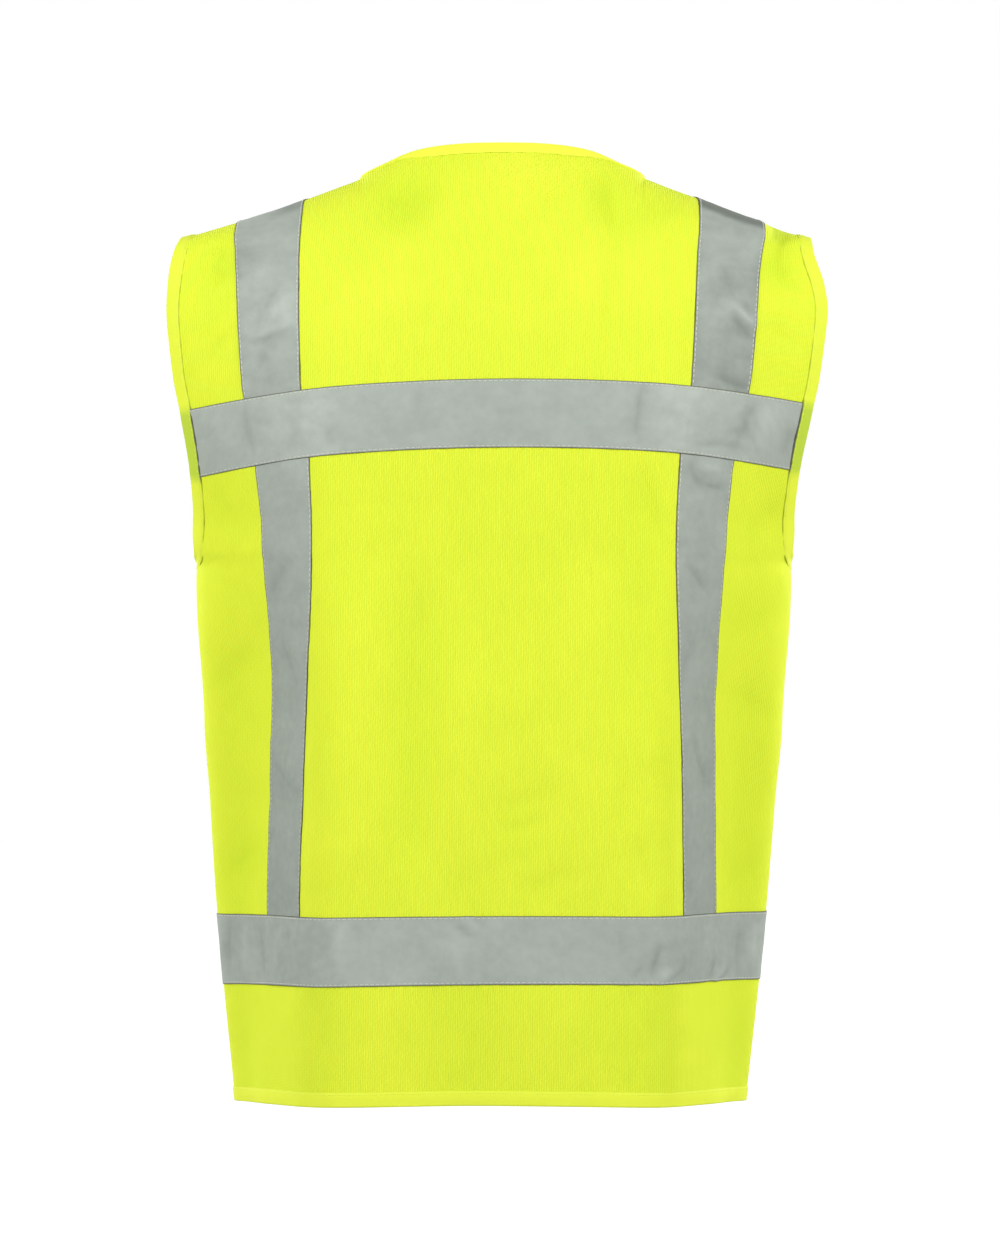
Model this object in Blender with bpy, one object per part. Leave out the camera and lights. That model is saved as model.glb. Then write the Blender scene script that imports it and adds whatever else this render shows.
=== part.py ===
"""A sleeveless high-visibility vest, filled out as when worn, with nobody in it.

Metres, +Z up. The wearer faces -Y and has the left hand at +X. The origin lies midway
between the two points where the neck meets the shoulders, at their height.

Every panel is a sheet laid over one form. A place on the form is given by its distance
along the cloth from the centre line and by its height. Tapes and bindings are made from
the points of the panel that they lie on, moved out along the panel's normals.
"""

from typing import NamedTuple

import bmesh
import bpy
import numpy as np

# Thicknesses, gaps and trim
CLOTH = 0.0012
TAPE = 0.0010
BINDING = 0.0010
GAP = 0.0003
TAPE_WIDTH = 0.050
BINDING_WIDTH = 0.010
CLOSURE = 0.0010

# The cut
HALF_PANEL = 0.280  # centre line to side seam, a quarter of the girth
FRONT_OVERLAP = 0.0205  # how far each front runs past the centre line
CLOSURE_STEP = 0.0205  # from the front edge's binding to the far side of the closure
FRONT_SPREAD = 0.00215  # each front leaves the common form by this much where they overlap
SPREAD_HELD, SPREAD_GONE = 0.032, 0.085  # distances from the centre line
NECK_HALF = 0.107
SHOULDER_HALF = 0.2385
UNDERARM = -0.290
BODY_HEIGHT = 0.400  # underarm to hem
V_BOTTOM = -0.208
V_ROUNDING = 0.10  # share of the neckline's depth over which its lowest point rounds

# The stance
TAPE_TOP = 0.1475  # inner edge of the shoulder tape on the ridge
BACK_DEPTH, HEM_FLARE = 0.127, 0.016  # the centre of the back, and how much further the hem is
ARCH_BACK, ARCH_FRONT = -0.250, -0.262  # heights where the form starts closing to the shoulder
NECK_RISE = 0.025  # how much higher the closed form would reach behind the neck
RIDGE_NEAR, RIDGE_FAR = 0.012, 0.003  # the ridge's place in depth, at the neck and outside


class Level(NamedTuple):
    """The body below the armholes: its half width, and how far the cloth under the back's
    vertical tapes turns from facing back, in degrees."""

    height: float
    half_width: float
    tape_turn: float


class Shoulder(NamedTuple):
    """The armhole: how far out its edge stands, and where it is cut, measured along the
    cloth from the centre line of the back and of the front."""

    height: float
    armhole: float
    back_cut: float
    front_cut: float


class Row(NamedTuple):
    """One line across a panel: its height at the centre, how much lower its ends are, how
    much higher it is at the wearer's right, and how many cells lie below it."""

    height: float
    droop: float
    tilt: float
    cells: int


class Fold(NamedTuple):
    """A soft trough (or, where depth is negative, a ridge) that runs down a panel."""

    panel: str
    across: float
    reach: float
    depth: float
    top: float
    bottom: float


LEVELS = (
    Level(-0.700, 0.1918, 58.0),
    Level(-0.621, 0.2003, 59.0),
    Level(-0.545, 0.2075, 60.0),
    Level(-0.470, 0.2128, 60.0),
    Level(-0.410, 0.2176, 59.0),
    Level(-0.350, 0.2218, 54.0),
    Level(-0.303, 0.2240, 46.0),
    Level(UNDERARM, 0.2237, 44.0),
)
SHOULDERS = (
    Shoulder(-0.284, 0.2230, 0.2635, 0.2615),
    Shoulder(-0.275, 0.2222, 0.2580, 0.2550),
    Shoulder(-0.262, 0.2218, 0.2545, 0.2500),
    Shoulder(-0.243, 0.2237, 0.2515, 0.2450),
    Shoulder(-0.212, 0.2273, 0.2485, 0.2420),
    Shoulder(-0.182, 0.2326, 0.2495, 0.2425),
    Shoulder(-0.152, 0.2388, 0.2535, 0.2470),
    Shoulder(-0.110, 0.2438, 0.2545, 0.2510),
    Shoulder(-0.080, 0.2437, 0.2505, 0.2490),
    Shoulder(-0.058, 0.2412, 0.2440, 0.2435),
    Shoulder(-0.045, SHOULDER_HALF, 0.2390, 0.2390),
    Shoulder(0.030, SHOULDER_HALF, 0.2387, 0.2387),
)
# How far the whole vest hangs towards the wearer's left, by height
SWAY = ((-0.700, 0.0046), (-0.545, 0.0038), (-0.390, 0.0024), (-0.260, 0.0020), (-0.150, 0.0002),
        (-0.070, -0.0010), (-0.030, -0.0033), (0.030, -0.0046))
# Inner edge of the vertical tapes along the cloth, back and front, by height
TAPE_BACK = ((-0.700, 0.1480), (-0.548, 0.1478), (-0.470, 0.1452), (-0.360, 0.1388),
             (-0.285, 0.1340), (-0.208, 0.1362), (-0.158, 0.1442), (-0.080, 0.1462),
             (-0.010, TAPE_TOP))
TAPE_FRONT = ((-0.700, 0.1220), (-0.548, 0.1220), (-0.272, 0.1240), (-0.222, 0.1270),
              (-0.100, 0.1400), (-0.010, TAPE_TOP))
# Neckline of the back: distance from the centre line, height
NECKLINE = ((0.0, 0.0203), (0.020, 0.0201), (0.040, 0.0190), (0.055, 0.0172), (0.065, 0.0152),
            (0.074, 0.0122), (0.085, 0.0076), (0.097, 0.0032), (NECK_HALF, -0.0012))
BACK_ROWS = (
    Row(-0.6837, 0.012, 0.0, 0),
    Row(-0.6737, 0.012, 0.0, 1),
    Row(-0.5975, 0.009, 0.0020, 3),
    Row(-0.5480, 0.0060, 0.0010, 2),
    Row(-0.2870, 0.013, 0.0, 8),
    Row(-0.2770, 0.013, 0.0, 1),
    Row(-0.2080, 0.022, 0.0030, 4),
    Row(-0.1580, 0.022, 0.0030, 2),
)
# The fronts share the back's heights at the side seams; lift is how much higher the centre is
FRONT_LIFTS = (0.006, 0.006, 0.004, 0.003, 0.006, 0.006)
FRONT_ROWS = (
    Row(-0.2720, 0.008, 0.0, 1),
    Row(-0.2220, 0.008, 0.0, 2),
)
BACK_TOP_CELLS, FRONT_TOP_CELLS = 9, 12
FOLDS = (
    Fold("back", 0.058, 0.020, 0.0028, -0.300, -0.545),
    Fold("back", 0.030, 0.016, -0.0015, -0.330, -0.545),
    Fold("back", 0.094, 0.020, -0.0018, -0.300, -0.545),
    Fold("back", -0.104, 0.022, 0.0020, -0.190, -0.420),
    Fold("back", -0.060, 0.024, -0.0015, -0.260, -0.520),
    Fold("back", 0.124, 0.020, 0.0022, -0.555, -0.720),
    Fold("back", 0.078, 0.024, -0.0026, -0.540, -0.720),
    Fold("back", 0.018, 0.024, 0.0026, -0.545, -0.720),
    Fold("back", -0.045, 0.024, -0.0018, -0.560, -0.720),
    Fold("back", -0.112, 0.020, 0.0022, -0.550, -0.720),
    Fold("back", 0.232, 0.022, 0.0030, -0.330, -0.720),
    Fold("back", -0.228, 0.022, 0.0030, -0.350, -0.720),
    Fold("front", 0.070, 0.020, 0.0024, -0.300, -0.720),
    Fold("front", 0.100, 0.020, -0.0020, -0.330, -0.720),
    Fold("front", 0.225, 0.024, 0.0030, -0.340, -0.720),
    Fold("front", -0.062, 0.020, 0.0022, -0.340, -0.720),
    Fold("front", -0.092, 0.020, -0.0018, -0.310, -0.720),
    Fold("front", -0.230, 0.024, 0.0028, -0.320, -0.720),
)
FOLD_FADE = 0.070

YELLOW = (0.72, 0.93, 0.03, 1.0)
BINDING_YELLOW = (0.86, 0.95, 0.05, 1.0)
SILVER = (0.40, 0.43, 0.38, 1.0)
FASTENER_YELLOW = (0.70, 0.88, 0.06, 1.0)


# ---- Curves ---------------------------------------------------------------------------


def eased(t):
    """0 to 1 with level ends."""
    t = np.clip(t, 0.0, 1.0)
    return t * t * (3.0 - 2.0 * t)


def smooth(pairs, at):
    """A line through (place, value) pairs with no overshoot and no corners."""
    places, values = np.array(pairs, float).T
    steps = np.diff(places)
    rises = np.diff(values) / steps
    slopes = np.zeros(len(places))
    same_way = rises[:-1] * rises[1:] > 0
    both = rises[:-1] + rises[1:]
    slopes[1:-1][same_way] = 2 * (rises[:-1] * rises[1:])[same_way] / both[same_way]
    slopes[0], slopes[-1] = rises[0], rises[-1]
    at = np.clip(at, places[0], places[-1])
    i = np.clip(np.searchsorted(places, at, side="right") - 1, 0, len(steps) - 1)
    h = steps[i]
    t = (at - places[i]) / h
    return (
        values[i] * (1 + 2 * t) * (1 - t) ** 2
        + slopes[i] * h * t * (1 - t) ** 2
        + values[i + 1] * t * t * (3 - 2 * t)
        + slopes[i + 1] * h * t * t * (t - 1)
    )


def unit(vector):
    return vector / np.linalg.norm(vector)


def solved(function, low, high, goal):
    """Where a rising function reaches its goal, by halving the range 40 times."""
    low = np.broadcast_to(low, np.shape(goal)).astype(float)
    high = np.broadcast_to(high, np.shape(goal)).astype(float)
    for _ in range(40):
        middle = (low + high) / 2
        short = function(middle) < goal
        low, high = np.where(short, middle, low), np.where(short, high, middle)
    return (low + high) / 2


# ---- The form: half sections, each from its centre line to the side seam -----------------

QUARTER_TURN = np.pi / 2
SAMPLES = (np.arange(64) + 0.5) / 64
SIDE_ROUNDING = 0.045
TAPE_END, FLANK_START = 0.183, 0.215  # where the turn under the tape gives way to the flank's


class Half(NamedTuple):
    """How one half of the form bends: a slight bow, then a corner. After it come the
    vertical tape, the flank and a rounded side, whose turns change with height."""

    name: str
    sign: float
    bow: float
    corner_start: float
    corner_width: float


BACK = Half("back", 1.0, np.radians(4.0), 0.104, 0.044)
FRONT = Half("front", -1.0, np.radians(5.0), 0.080, 0.060)


def travelled(half, along, tape_turn, flank_turn):
    """How far sideways and how far towards the side seam's depth a point has come."""
    along, tape_turn, flank_turn = (
        np.asarray(a, float)[..., None] for a in np.broadcast_arrays(along, tape_turn, flank_turn)
    )
    passed = along * SAMPLES
    bowed = half.bow * np.clip(passed / half.corner_start, 0.0, 1.0)
    corner = eased((passed - half.corner_start) / half.corner_width)
    flank = eased((passed - TAPE_END) / (FLANK_START - TAPE_END))
    side = eased((passed - HALF_PANEL + SIDE_ROUNDING) / SIDE_ROUNDING)
    angle = bowed + (tape_turn - half.bow) * corner
    angle = angle + (flank_turn - tape_turn) * flank + (QUARTER_TURN - flank_turn) * side
    along = along[..., 0]
    return along * np.cos(angle).mean(-1), np.abs(along) * np.sin(np.abs(angle)).mean(-1)


def turns_of(half):
    """(height, tape's turn) and (height, flank's turn) pairs. The flank's turns are solved
    from the widths of the form, so that each row's outline comes out as stated."""
    heights, tape, flank = [], [], []
    for row in (*LEVELS, *SHOULDERS):
        body = isinstance(row, Level)
        given = np.radians(row.tape_turn) if body and half is BACK else None
        width = row.half_width if body else row.armhole
        along = HALF_PANEL if body else row.back_cut if half is BACK else row.front_cut

        def reach(upright):
            turn = QUARTER_TURN - upright
            return travelled(half, along, turn if given is None else given, turn)[0]

        turn = QUARTER_TURN - float(solved(reach, 0.0, QUARTER_TURN, width))
        heights.append(row.height)
        flank.append(turn)
        tape.append(turn if given is None else given)
    return list(zip(heights, tape)), list(zip(heights, flank))


TURNS = {half.name: turns_of(half) for half in (BACK, FRONT)}


def carried(half, along, height):
    """travelled() at a height of the form."""
    tape, flank = TURNS[half.name]
    return travelled(half, along, smooth(tape, height), smooth(flank, height))


def centre_depth(half, height):
    """The depth of the centre line, before the form closes to the shoulder."""
    if half is BACK:
        return BACK_DEPTH + HEM_FLARE * (UNDERARM - np.minimum(height, UNDERARM)) / BODY_HEIGHT
    low = np.minimum(height, UNDERARM)
    side = centre_depth(BACK, low) - carried(BACK, HALF_PANEL, low)[1]
    return side - carried(FRONT, HALF_PANEL, low)[1]


def ridge_height(across):
    out = np.abs(across) - NECK_HALF
    return -0.0012 - 0.395 * out + 0.5 * np.maximum(out, 0.0) ** 2


def ridge_depth(across):
    share = (np.abs(across) - NECK_HALF) / (SHOULDER_HALF - NECK_HALF)
    return RIDGE_NEAR + (RIDGE_FAR - RIDGE_NEAR) * eased(share)


def top_height(half, across):
    """The upper edge of a panel: the neckline behind the neck, and the ridge."""
    behind_neck = (half is BACK) & (np.abs(across) < NECK_HALF)
    return np.where(behind_neck, smooth(NECKLINE, np.abs(across)), ridge_height(across))


def closed_height(half, across):
    """Where the form would close over, at or above the panel's upper edge."""
    inside = np.clip(1 - (across / NECK_HALF) ** 2, 0.0, 1.0)
    rise = NECK_RISE * inside if half is BACK else 0.0
    return top_height(half, across) + rise


def closing(half, across, height):
    """1 on the upright part of the form, falling to 0 where it closes on the ridge."""
    start = ARCH_BACK if half is BACK else ARCH_FRONT
    power_up, power_in = (2.5, 2.5) if half is BACK else (1.9, 2.0)
    share = np.clip((height - start) / (closed_height(half, across) - start), 0.0, 1.0)
    return (1 - share**power_up) ** (1 / power_in)


def place(half, across, drop, height):
    """The point of the form from its sideways place, its drop from the centre line's depth
    and its height."""
    depth = centre_depth(half, height) - half.sign * drop
    ridge = ridge_depth(across)
    depth = ridge + (depth - ridge) * closing(half, across, height)
    return np.stack(np.broadcast_arrays(across, depth, height), axis=-1)


# ---- Lines down the panels ------------------------------------------------------------------

ARMHOLE_CUTS = {
    half.name: [(UNDERARM, HALF_PANEL)]
    + [(row.height, row.back_cut if half is BACK else row.front_cut) for row in SHOULDERS]
    for half in (BACK, FRONT)
}


def side_edge(half, height):
    """The side seam, then the armhole's edge."""
    return smooth(ARMHOLE_CUTS[half.name], height)


def slanted(edge, half, height, most):
    """The binding's width, measured along a row where its edge runs at a slant."""
    rate = (edge(half, height + 0.001) - edge(half, height - 0.001)) / 0.002
    return np.minimum(BINDING_WIDTH * np.hypot(1.0, rate), most)


def side_flange(half, height):
    width = slanted(side_edge, half, height, 0.016)
    return side_edge(half, height) - np.where(height < UNDERARM, BINDING_WIDTH, width)


def front_edge(half, height):
    """The front edge, then the V of the neckline."""
    share = np.clip((height - V_BOTTOM) / (-0.0012 - V_BOTTOM), 0.0, 1.0)
    start = np.hypot(0.0, V_ROUNDING)
    climb = (np.hypot(share, V_ROUNDING) - start) / (np.hypot(1.0, V_ROUNDING) - start)
    return -FRONT_OVERLAP + (NECK_HALF + FRONT_OVERLAP) * climb


def front_flange(half, height):
    return front_edge(half, height) + slanted(front_edge, half, height, 0.013)


def closure_edge(half, height):
    """The far side of the closure; above the V this line only guides the grid."""
    share = eased((height - V_BOTTOM) / (0.0 - V_BOTTOM))
    guide = (TAPE_TOP - NECK_HALF - BINDING_WIDTH) / 4
    return front_flange(half, height) + CLOSURE_STEP + (guide - CLOSURE_STEP) * share


def tape_inner(half, height):
    return smooth(TAPE_BACK if half is BACK else TAPE_FRONT, height)


def tape_outer(half, height):
    return tape_inner(half, height) + TAPE_WIDTH


def constant(value):
    return lambda half, height: np.full(np.shape(height), value)


class Lines(NamedTuple):
    """The lines that a panel's columns follow, and the cells between one and the next."""

    stops: tuple
    cells: tuple
    top: tuple  # the stops' sideways places on the upper edge


BACK_LINES = Lines(
    (constant(0.0), constant(NECK_HALF), constant(NECK_HALF + BINDING_WIDTH), tape_inner,
     tape_outer, side_flange, side_edge),
    (5, 1, 4, 4, 4, 1),
    (0.0, NECK_HALF, NECK_HALF + BINDING_WIDTH, TAPE_TOP, TAPE_TOP + TAPE_WIDTH,
     SHOULDER_HALF - BINDING_WIDTH, SHOULDER_HALF),
)
FRONT_LINES = Lines(
    (front_edge, front_flange, closure_edge, tape_inner, tape_outer, side_flange, side_edge),
    (1, 1, 3, 4, 4, 1),
    (NECK_HALF, NECK_HALF + BINDING_WIDTH,
     NECK_HALF + BINDING_WIDTH + (TAPE_TOP - NECK_HALF - BINDING_WIDTH) / 4,
     TAPE_TOP, TAPE_TOP + TAPE_WIDTH, SHOULDER_HALF - BINDING_WIDTH, SHOULDER_HALF),
)


def spread_out(values, cells):
    """Values with the given number of equal cells between one and the next."""
    out = [values[0]]
    for a, b, count in zip(values[:-1], values[1:], cells):
        out += [a + (b - a) * k / count for k in range(1, count + 1)]
    return out


def columns(half, lines, heights):
    """Distances along the cloth: one column for each last entry of heights."""
    stops = [stop(half, heights) for stop in lines.stops]
    spread = np.stack(spread_out(stops, lines.cells), axis=-1)
    return np.diagonal(spread, axis1=-2, axis2=-1)


# Columns by name, as cell counts from a panel's first column
NECK_COLUMN = BACK_LINES.cells[0]
BACK_TAPE = sum(BACK_LINES.cells[:3]), sum(BACK_LINES.cells[:4])
FRONT_TAPE = sum(FRONT_LINES.cells[:3]), sum(FRONT_LINES.cells[:4])
BACK_LAST, FRONT_LAST = sum(BACK_LINES.cells), sum(FRONT_LINES.cells)
# Rows by name
HEM, HEM_FLANGE, WAIST_LOW, WAIST_HIGH, UNDERARM_FLANGE, UNDERARM_ROW, CHEST_LOW, CHEST_HIGH = (
    np.cumsum([row.cells for row in BACK_ROWS]).tolist()
)
FRONT_CHEST_LOW = UNDERARM_ROW + FRONT_ROWS[0].cells
FRONT_CHEST_HIGH = FRONT_CHEST_LOW + FRONT_ROWS[1].cells
BACK_TOP, FRONT_TOP = CHEST_HIGH + BACK_TOP_CELLS, FRONT_CHEST_HIGH + FRONT_TOP_CELLS


# ---- Grids ------------------------------------------------------------------------------------


def lower_rows(half, lines, side):
    """Height and distance along the cloth for each crossing, up to the chest tape's top."""
    cells = [row.cells for row in BACK_ROWS[1:]]
    table = np.array([row[:3] for row in BACK_ROWS])
    level, droop, tilt = np.array(spread_out(list(table), cells)).T[..., None]
    lift = 0.0
    if half is FRONT:
        count = UNDERARM_ROW + 1
        lifts = np.array(spread_out(list(FRONT_LIFTS), cells[: len(FRONT_LIFTS) - 1]))
        own = np.array(spread_out([np.array(row[:3]) for row in FRONT_ROWS], [FRONT_ROWS[1].cells]))
        # The rows up to the underarm keep the back's side heights, written as a level and a lift.
        lift = np.concatenate([lifts, own[:, 1]])[:, None]
        level = np.concatenate([(level - droop)[:count], (own[:, 0] - own[:, 1])[:, None]])
        tilt = np.concatenate([tilt[:count], own[:, 2:]])
        droop = 0.0
    heights = np.broadcast_to(level, (len(level), sum(lines.cells) + 1)).copy()
    for _ in range(6):
        along = columns(half, lines, heights).copy()
        along[: UNDERARM_ROW + 1, -1] = HALF_PANEL
        share = np.clip(along / HALF_PANEL, 0.0, 1.0)
        heights = level - droop * share**2 + lift * (1 - share**2) - side * tilt * share
    return heights, along


def fade_in(height, low, high):
    return eased((height - low) / (high - low))


def panel_points(half, side):
    """The grid of one side of a panel, hem to upper edge and centre to side, as points."""
    lines = BACK_LINES if half is BACK else FRONT_LINES
    top_cells = BACK_TOP_CELLS if half is BACK else FRONT_TOP_CELLS
    heights, along = lower_rows(half, lines, side)
    across, drop = carried(half, along, heights)
    lower = place(half, across, drop, heights)
    lower_along = along

    # Above the chest tape each column climbs to its place on the upper edge.
    top_across = np.array(spread_out(list(lines.top), lines.cells))
    climb = np.linspace(0.0, 1.0, 81)[:, None]
    heights = heights[-1] + (top_height(half, top_across) - heights[-1]) * climb
    along = columns(half, lines, heights)
    across, drop = carried(half, along, heights)
    across = across + (top_across - across[-1]) * eased(climb)
    traced = place(half, across, drop, heights)
    steps = np.linalg.norm(np.diff(traced, axis=0), axis=-1)
    length = np.concatenate([np.zeros((1, steps.shape[1])), np.cumsum(steps, axis=0)])
    flange = length[-1] - BINDING_WIDTH
    wanted = flange * np.linspace(0.0, 1.0, top_cells)[1:, None]
    wanted = np.concatenate([wanted, length[-1:]])
    upper = np.empty((top_cells, traced.shape[1], 3))
    upper_along = np.empty((top_cells, traced.shape[1]))
    for c in range(traced.shape[1]):
        for axis in range(3):
            upper[:, c, axis] = np.interp(wanted[:, c], length[:, c], traced[:, c, axis])
        upper_along[:, c] = np.interp(wanted[:, c], length[:, c], along[:, c])
    upper[-1] = traced[-1]
    points = np.concatenate([lower, upper])
    return points, np.concatenate([lower_along, upper_along])


def folded(half, side, points, along):
    """How far out of the form each point lies: the soft folds, and the fronts' overlap."""
    out = np.zeros(along.shape)
    for fold in FOLDS:
        if fold.panel != half.name:
            continue
        bell = np.exp(-(((side * along - fold.across) / fold.reach) ** 2))
        window = fade_in(points[..., 2], fold.bottom, fold.bottom + FOLD_FADE)
        if fold.bottom < BACK_ROWS[0].height:
            window = 1.0
        window = window * (1 - fade_in(points[..., 2], fold.top - FOLD_FADE, fold.top))
        out -= fold.depth * bell * window
    out *= eased((HALF_PANEL - along) / 0.04)
    if half is FRONT:
        # The wearer's left front lies over the right one.
        out += side * FRONT_SPREAD * (1 - fade_in(along, SPREAD_HELD, SPREAD_GONE))
    return out


class Grid(NamedTuple):
    points: np.ndarray
    normals: np.ndarray


def cell_triangles(shape, other_diagonal):
    """Corner indices of two triangles for each cell. A cell is cut from its inner lower
    corner to its outer upper one, or the other way where other_diagonal says so."""
    rows, cols = shape
    out = []
    for r in range(rows - 1):
        for c in range(cols - 1):
            a, b = r * cols + c, r * cols + c + 1
            d, e = a + cols, b + cols
            out += [(a, b, d), (b, e, d)] if other_diagonal(r, c) else [(a, b, e), (a, e, d)]
    return np.array(out)


def half_diagonal(half):
    """Under the armhole, the binding's fan needs the cell there cut the other way."""
    last = BACK_LAST if half is BACK else FRONT_LAST
    return lambda r, c: (r, c) == (UNDERARM_FLANGE, last - 1)


def shared_normals(grids):
    """Normals for grids whose edges meet, averaged over all triangles at each place."""
    total = {}
    keys = {}
    for name, (points, half, side) in grids.items():
        triangles = cell_triangles(points.shape[:2], half_diagonal(half))
        flat = points.reshape(-1, 3)
        a, b, c = (flat[triangles[:, k]] for k in range(3))
        faces = np.cross(b - a, c - a) * (-side * half.sign)
        keys[name] = [tuple(key) for key in np.round(flat, 7).tolist()]
        for triangle, face in zip(triangles, faces):
            for corner in triangle:
                key = keys[name][corner]
                total[key] = total.get(key, 0.0) + face
    normals = {}
    for name, (points, _, _) in grids.items():
        summed = np.array([total[key] for key in keys[name]])
        summed /= np.linalg.norm(summed, axis=1, keepdims=True)
        normals[name] = summed.reshape(points.shape)
    return normals


def build_grids():
    """The four grids: back and front, wearer's left (+1) and right (-1)."""
    raw = {}
    lines = {}
    for half in (BACK, FRONT):
        for side in (1, -1):
            points, along = panel_points(half, side)
            points[..., 0] *= side
            if half is FRONT:
                seam = raw["back", side][0][: UNDERARM_ROW + 1, -1]
                points[: UNDERARM_ROW + 1, -1] = seam
            raw[half.name, side] = (points, half, side)
            lines[half.name, side] = along
    normals = shared_normals(raw)
    moved = {}
    for key, (points, half, side) in raw.items():
        out = folded(half, side, points, lines[key])
        points = points + normals[key] * out[..., None]
        points[..., 0] += smooth(SWAY, points[..., 2])
        moved[key] = (points, half, side)
    normals = shared_normals(moved)
    return {key: Grid(moved[key][0], normals[key]) for key in moved}


# ---- Solids -----------------------------------------------------------------------------------


def material(name, colour, roughness, metallic=0.0):
    found = bpy.data.materials.new(name)
    found.use_nodes = True
    shader = found.node_tree.nodes["Principled BSDF"]
    shader.inputs["Base Color"].default_value = colour
    shader.inputs["Roughness"].default_value = roughness
    shader.inputs["Metallic"].default_value = metallic
    found.diffuse_color = colour
    return found


def add_solid(name, points, faces, finish):
    """An object from points and faces, welded and turned outwards."""
    mesh = bpy.data.meshes.new(name)
    mesh.from_pydata([tuple(p) for p in points], [], [tuple(map(int, f)) for f in faces])
    shape = bmesh.new()
    shape.from_mesh(mesh)
    bmesh.ops.remove_doubles(shape, verts=shape.verts, dist=1e-6)
    if shape.calc_volume(signed=True) < 0:
        bmesh.ops.reverse_faces(shape, faces=shape.faces)
    shape.to_mesh(mesh)
    shape.free()
    mesh.materials.append(finish)
    mesh.shade_smooth()
    solid = bpy.data.objects.new(name, mesh)
    bpy.context.scene.collection.objects.link(solid)
    return solid


def layer_solid(name, grid, inner, outer, finish, other_diagonal=lambda r, c: False):
    """The wall between two offsets from a grid."""
    rows, cols = grid.points.shape[:2]
    below = (grid.points + grid.normals * inner).reshape(-1, 3)
    above = (grid.points + grid.normals * outer).reshape(-1, 3)
    count = rows * cols
    triangles = cell_triangles((rows, cols), other_diagonal)
    faces = [tuple(t + count) for t in triangles] + [tuple(t[::-1]) for t in triangles]
    index = np.arange(count).reshape(rows, cols)
    rim = [*index[0], *index[1:, -1], *index[-1, -2::-1], *index[-2:0:-1, 0]]
    for a, b in zip(rim, rim[1:] + rim[:1]):
        faces.append((a, b, b + count, a + count))
    return add_solid(name, np.concatenate([below, above]), faces, finish)


def drawn_in(grid, distance, first_row=False, last_row=False, first_col=False, last_col=False):
    """A copy of a grid whose chosen edges are moved towards its inside."""
    points = grid.points.copy()

    def move(edge, neighbour):
        step = neighbour - edge
        return edge + step / np.linalg.norm(step, axis=-1, keepdims=True) * distance

    if first_row:
        points[0] = move(points[0], points[1])
    if last_row:
        points[-1] = move(points[-1], points[-2])
    if first_col:
        points[:, 0] = move(points[:, 0], points[:, 1])
    if last_col:
        points[:, -1] = move(points[:, -1], points[:, -2])
    return Grid(points, grid.normals)


def patch(grid, rows, cols):
    """The part of a grid between two rows and two columns, both included."""
    cut = slice(rows[0], rows[1] + 1), slice(cols[0], cols[1] + 1)
    return Grid(grid.points[cut], grid.normals[cut])


def joined(first, second):
    """Two grids side by side that share a column."""
    return Grid(
        np.concatenate([first.points, second.points[:, 1:]], axis=1),
        np.concatenate([first.normals, second.normals[:, 1:]], axis=1),
    )


def flipped(grid):
    """The same grid with its columns in the other order."""
    return Grid(grid.points[:, ::-1], grid.normals[:, ::-1])


def stacked(lower, upper):
    """Two grids one above the other that share a row; the second is turned over."""
    return Grid(
        np.concatenate([lower.points, upper.points[-2::-1]]),
        np.concatenate([lower.normals, upper.normals[-2::-1]]),
    )


TAPE_INNER, TAPE_OUTER = CLOTH + GAP, CLOTH + GAP + TAPE


class Station(NamedTuple):
    """One cross-section of a binding: the cloth's edge, the flange's inner end, the
    normals there and the direction out of the cloth. The cell of cloth from here to the
    next station is cut from this edge to the next inside, or the other way."""

    edge: np.ndarray
    inside: np.ndarray
    edge_normal: np.ndarray
    inside_normal: np.ndarray
    out: np.ndarray
    cut_from_edge: bool


def station(grid, edge, inside, cut_from_edge, out=None):
    e, i = grid.points[edge], grid.points[inside]
    if out is None:
        out = unit(e - i)
    return Station(e, i, grid.normals[edge], grid.normals[inside], out, cut_from_edge)


def turned_back(stations):
    """The same strip, travelled the other way."""
    cuts = [s.cut_from_edge for s in stations[:-1]]
    cuts = [not cut for cut in cuts[::-1]] + [True]
    return [s._replace(cut_from_edge=cut) for s, cut in zip(stations[::-1], cuts)]


def binding_solid(name, stations, finish, closed=False):
    """A strip folded round an edge: eight points at each station."""
    near, far = CLOTH + GAP, CLOTH + GAP + BINDING
    rings = []
    for s in stations:
        inner_fold, outer_fold = s.edge + s.out * GAP, s.edge + s.out * (GAP + BINDING)
        rings.append([
            s.inside + s.inside_normal * far,
            outer_fold + s.edge_normal * far,
            outer_fold - s.edge_normal * (GAP + BINDING),
            s.inside - s.inside_normal * (GAP + BINDING),
            s.inside - s.inside_normal * GAP,
            inner_fold - s.edge_normal * GAP,
            inner_fold + s.edge_normal * near,
            s.inside + s.inside_normal * near,
        ])
    at_edge = (False, True, True, False, False, True, True, False)
    size = len(rings[0])
    count = len(rings)
    faces = []
    for k in range(count if closed else count - 1):
        a, b = k * size, (k + 1) % count * size
        for j in range(size):
            n = (j + 1) % size
            if at_edge[j] == stations[k].cut_from_edge:
                faces += [(a + j, a + n, b + n), (a + j, b + n, b + j)]
            else:
                faces += [(a + j, a + n, b + j), (a + n, b + n, b + j)]
    if not closed:
        faces.append(tuple(range(size))[::-1])
        faces.append(tuple(range((count - 1) * size, count * size)))
    return add_solid(name, np.concatenate(rings), faces, finish)


# ---- The vest -----------------------------------------------------------------------------------


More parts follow.
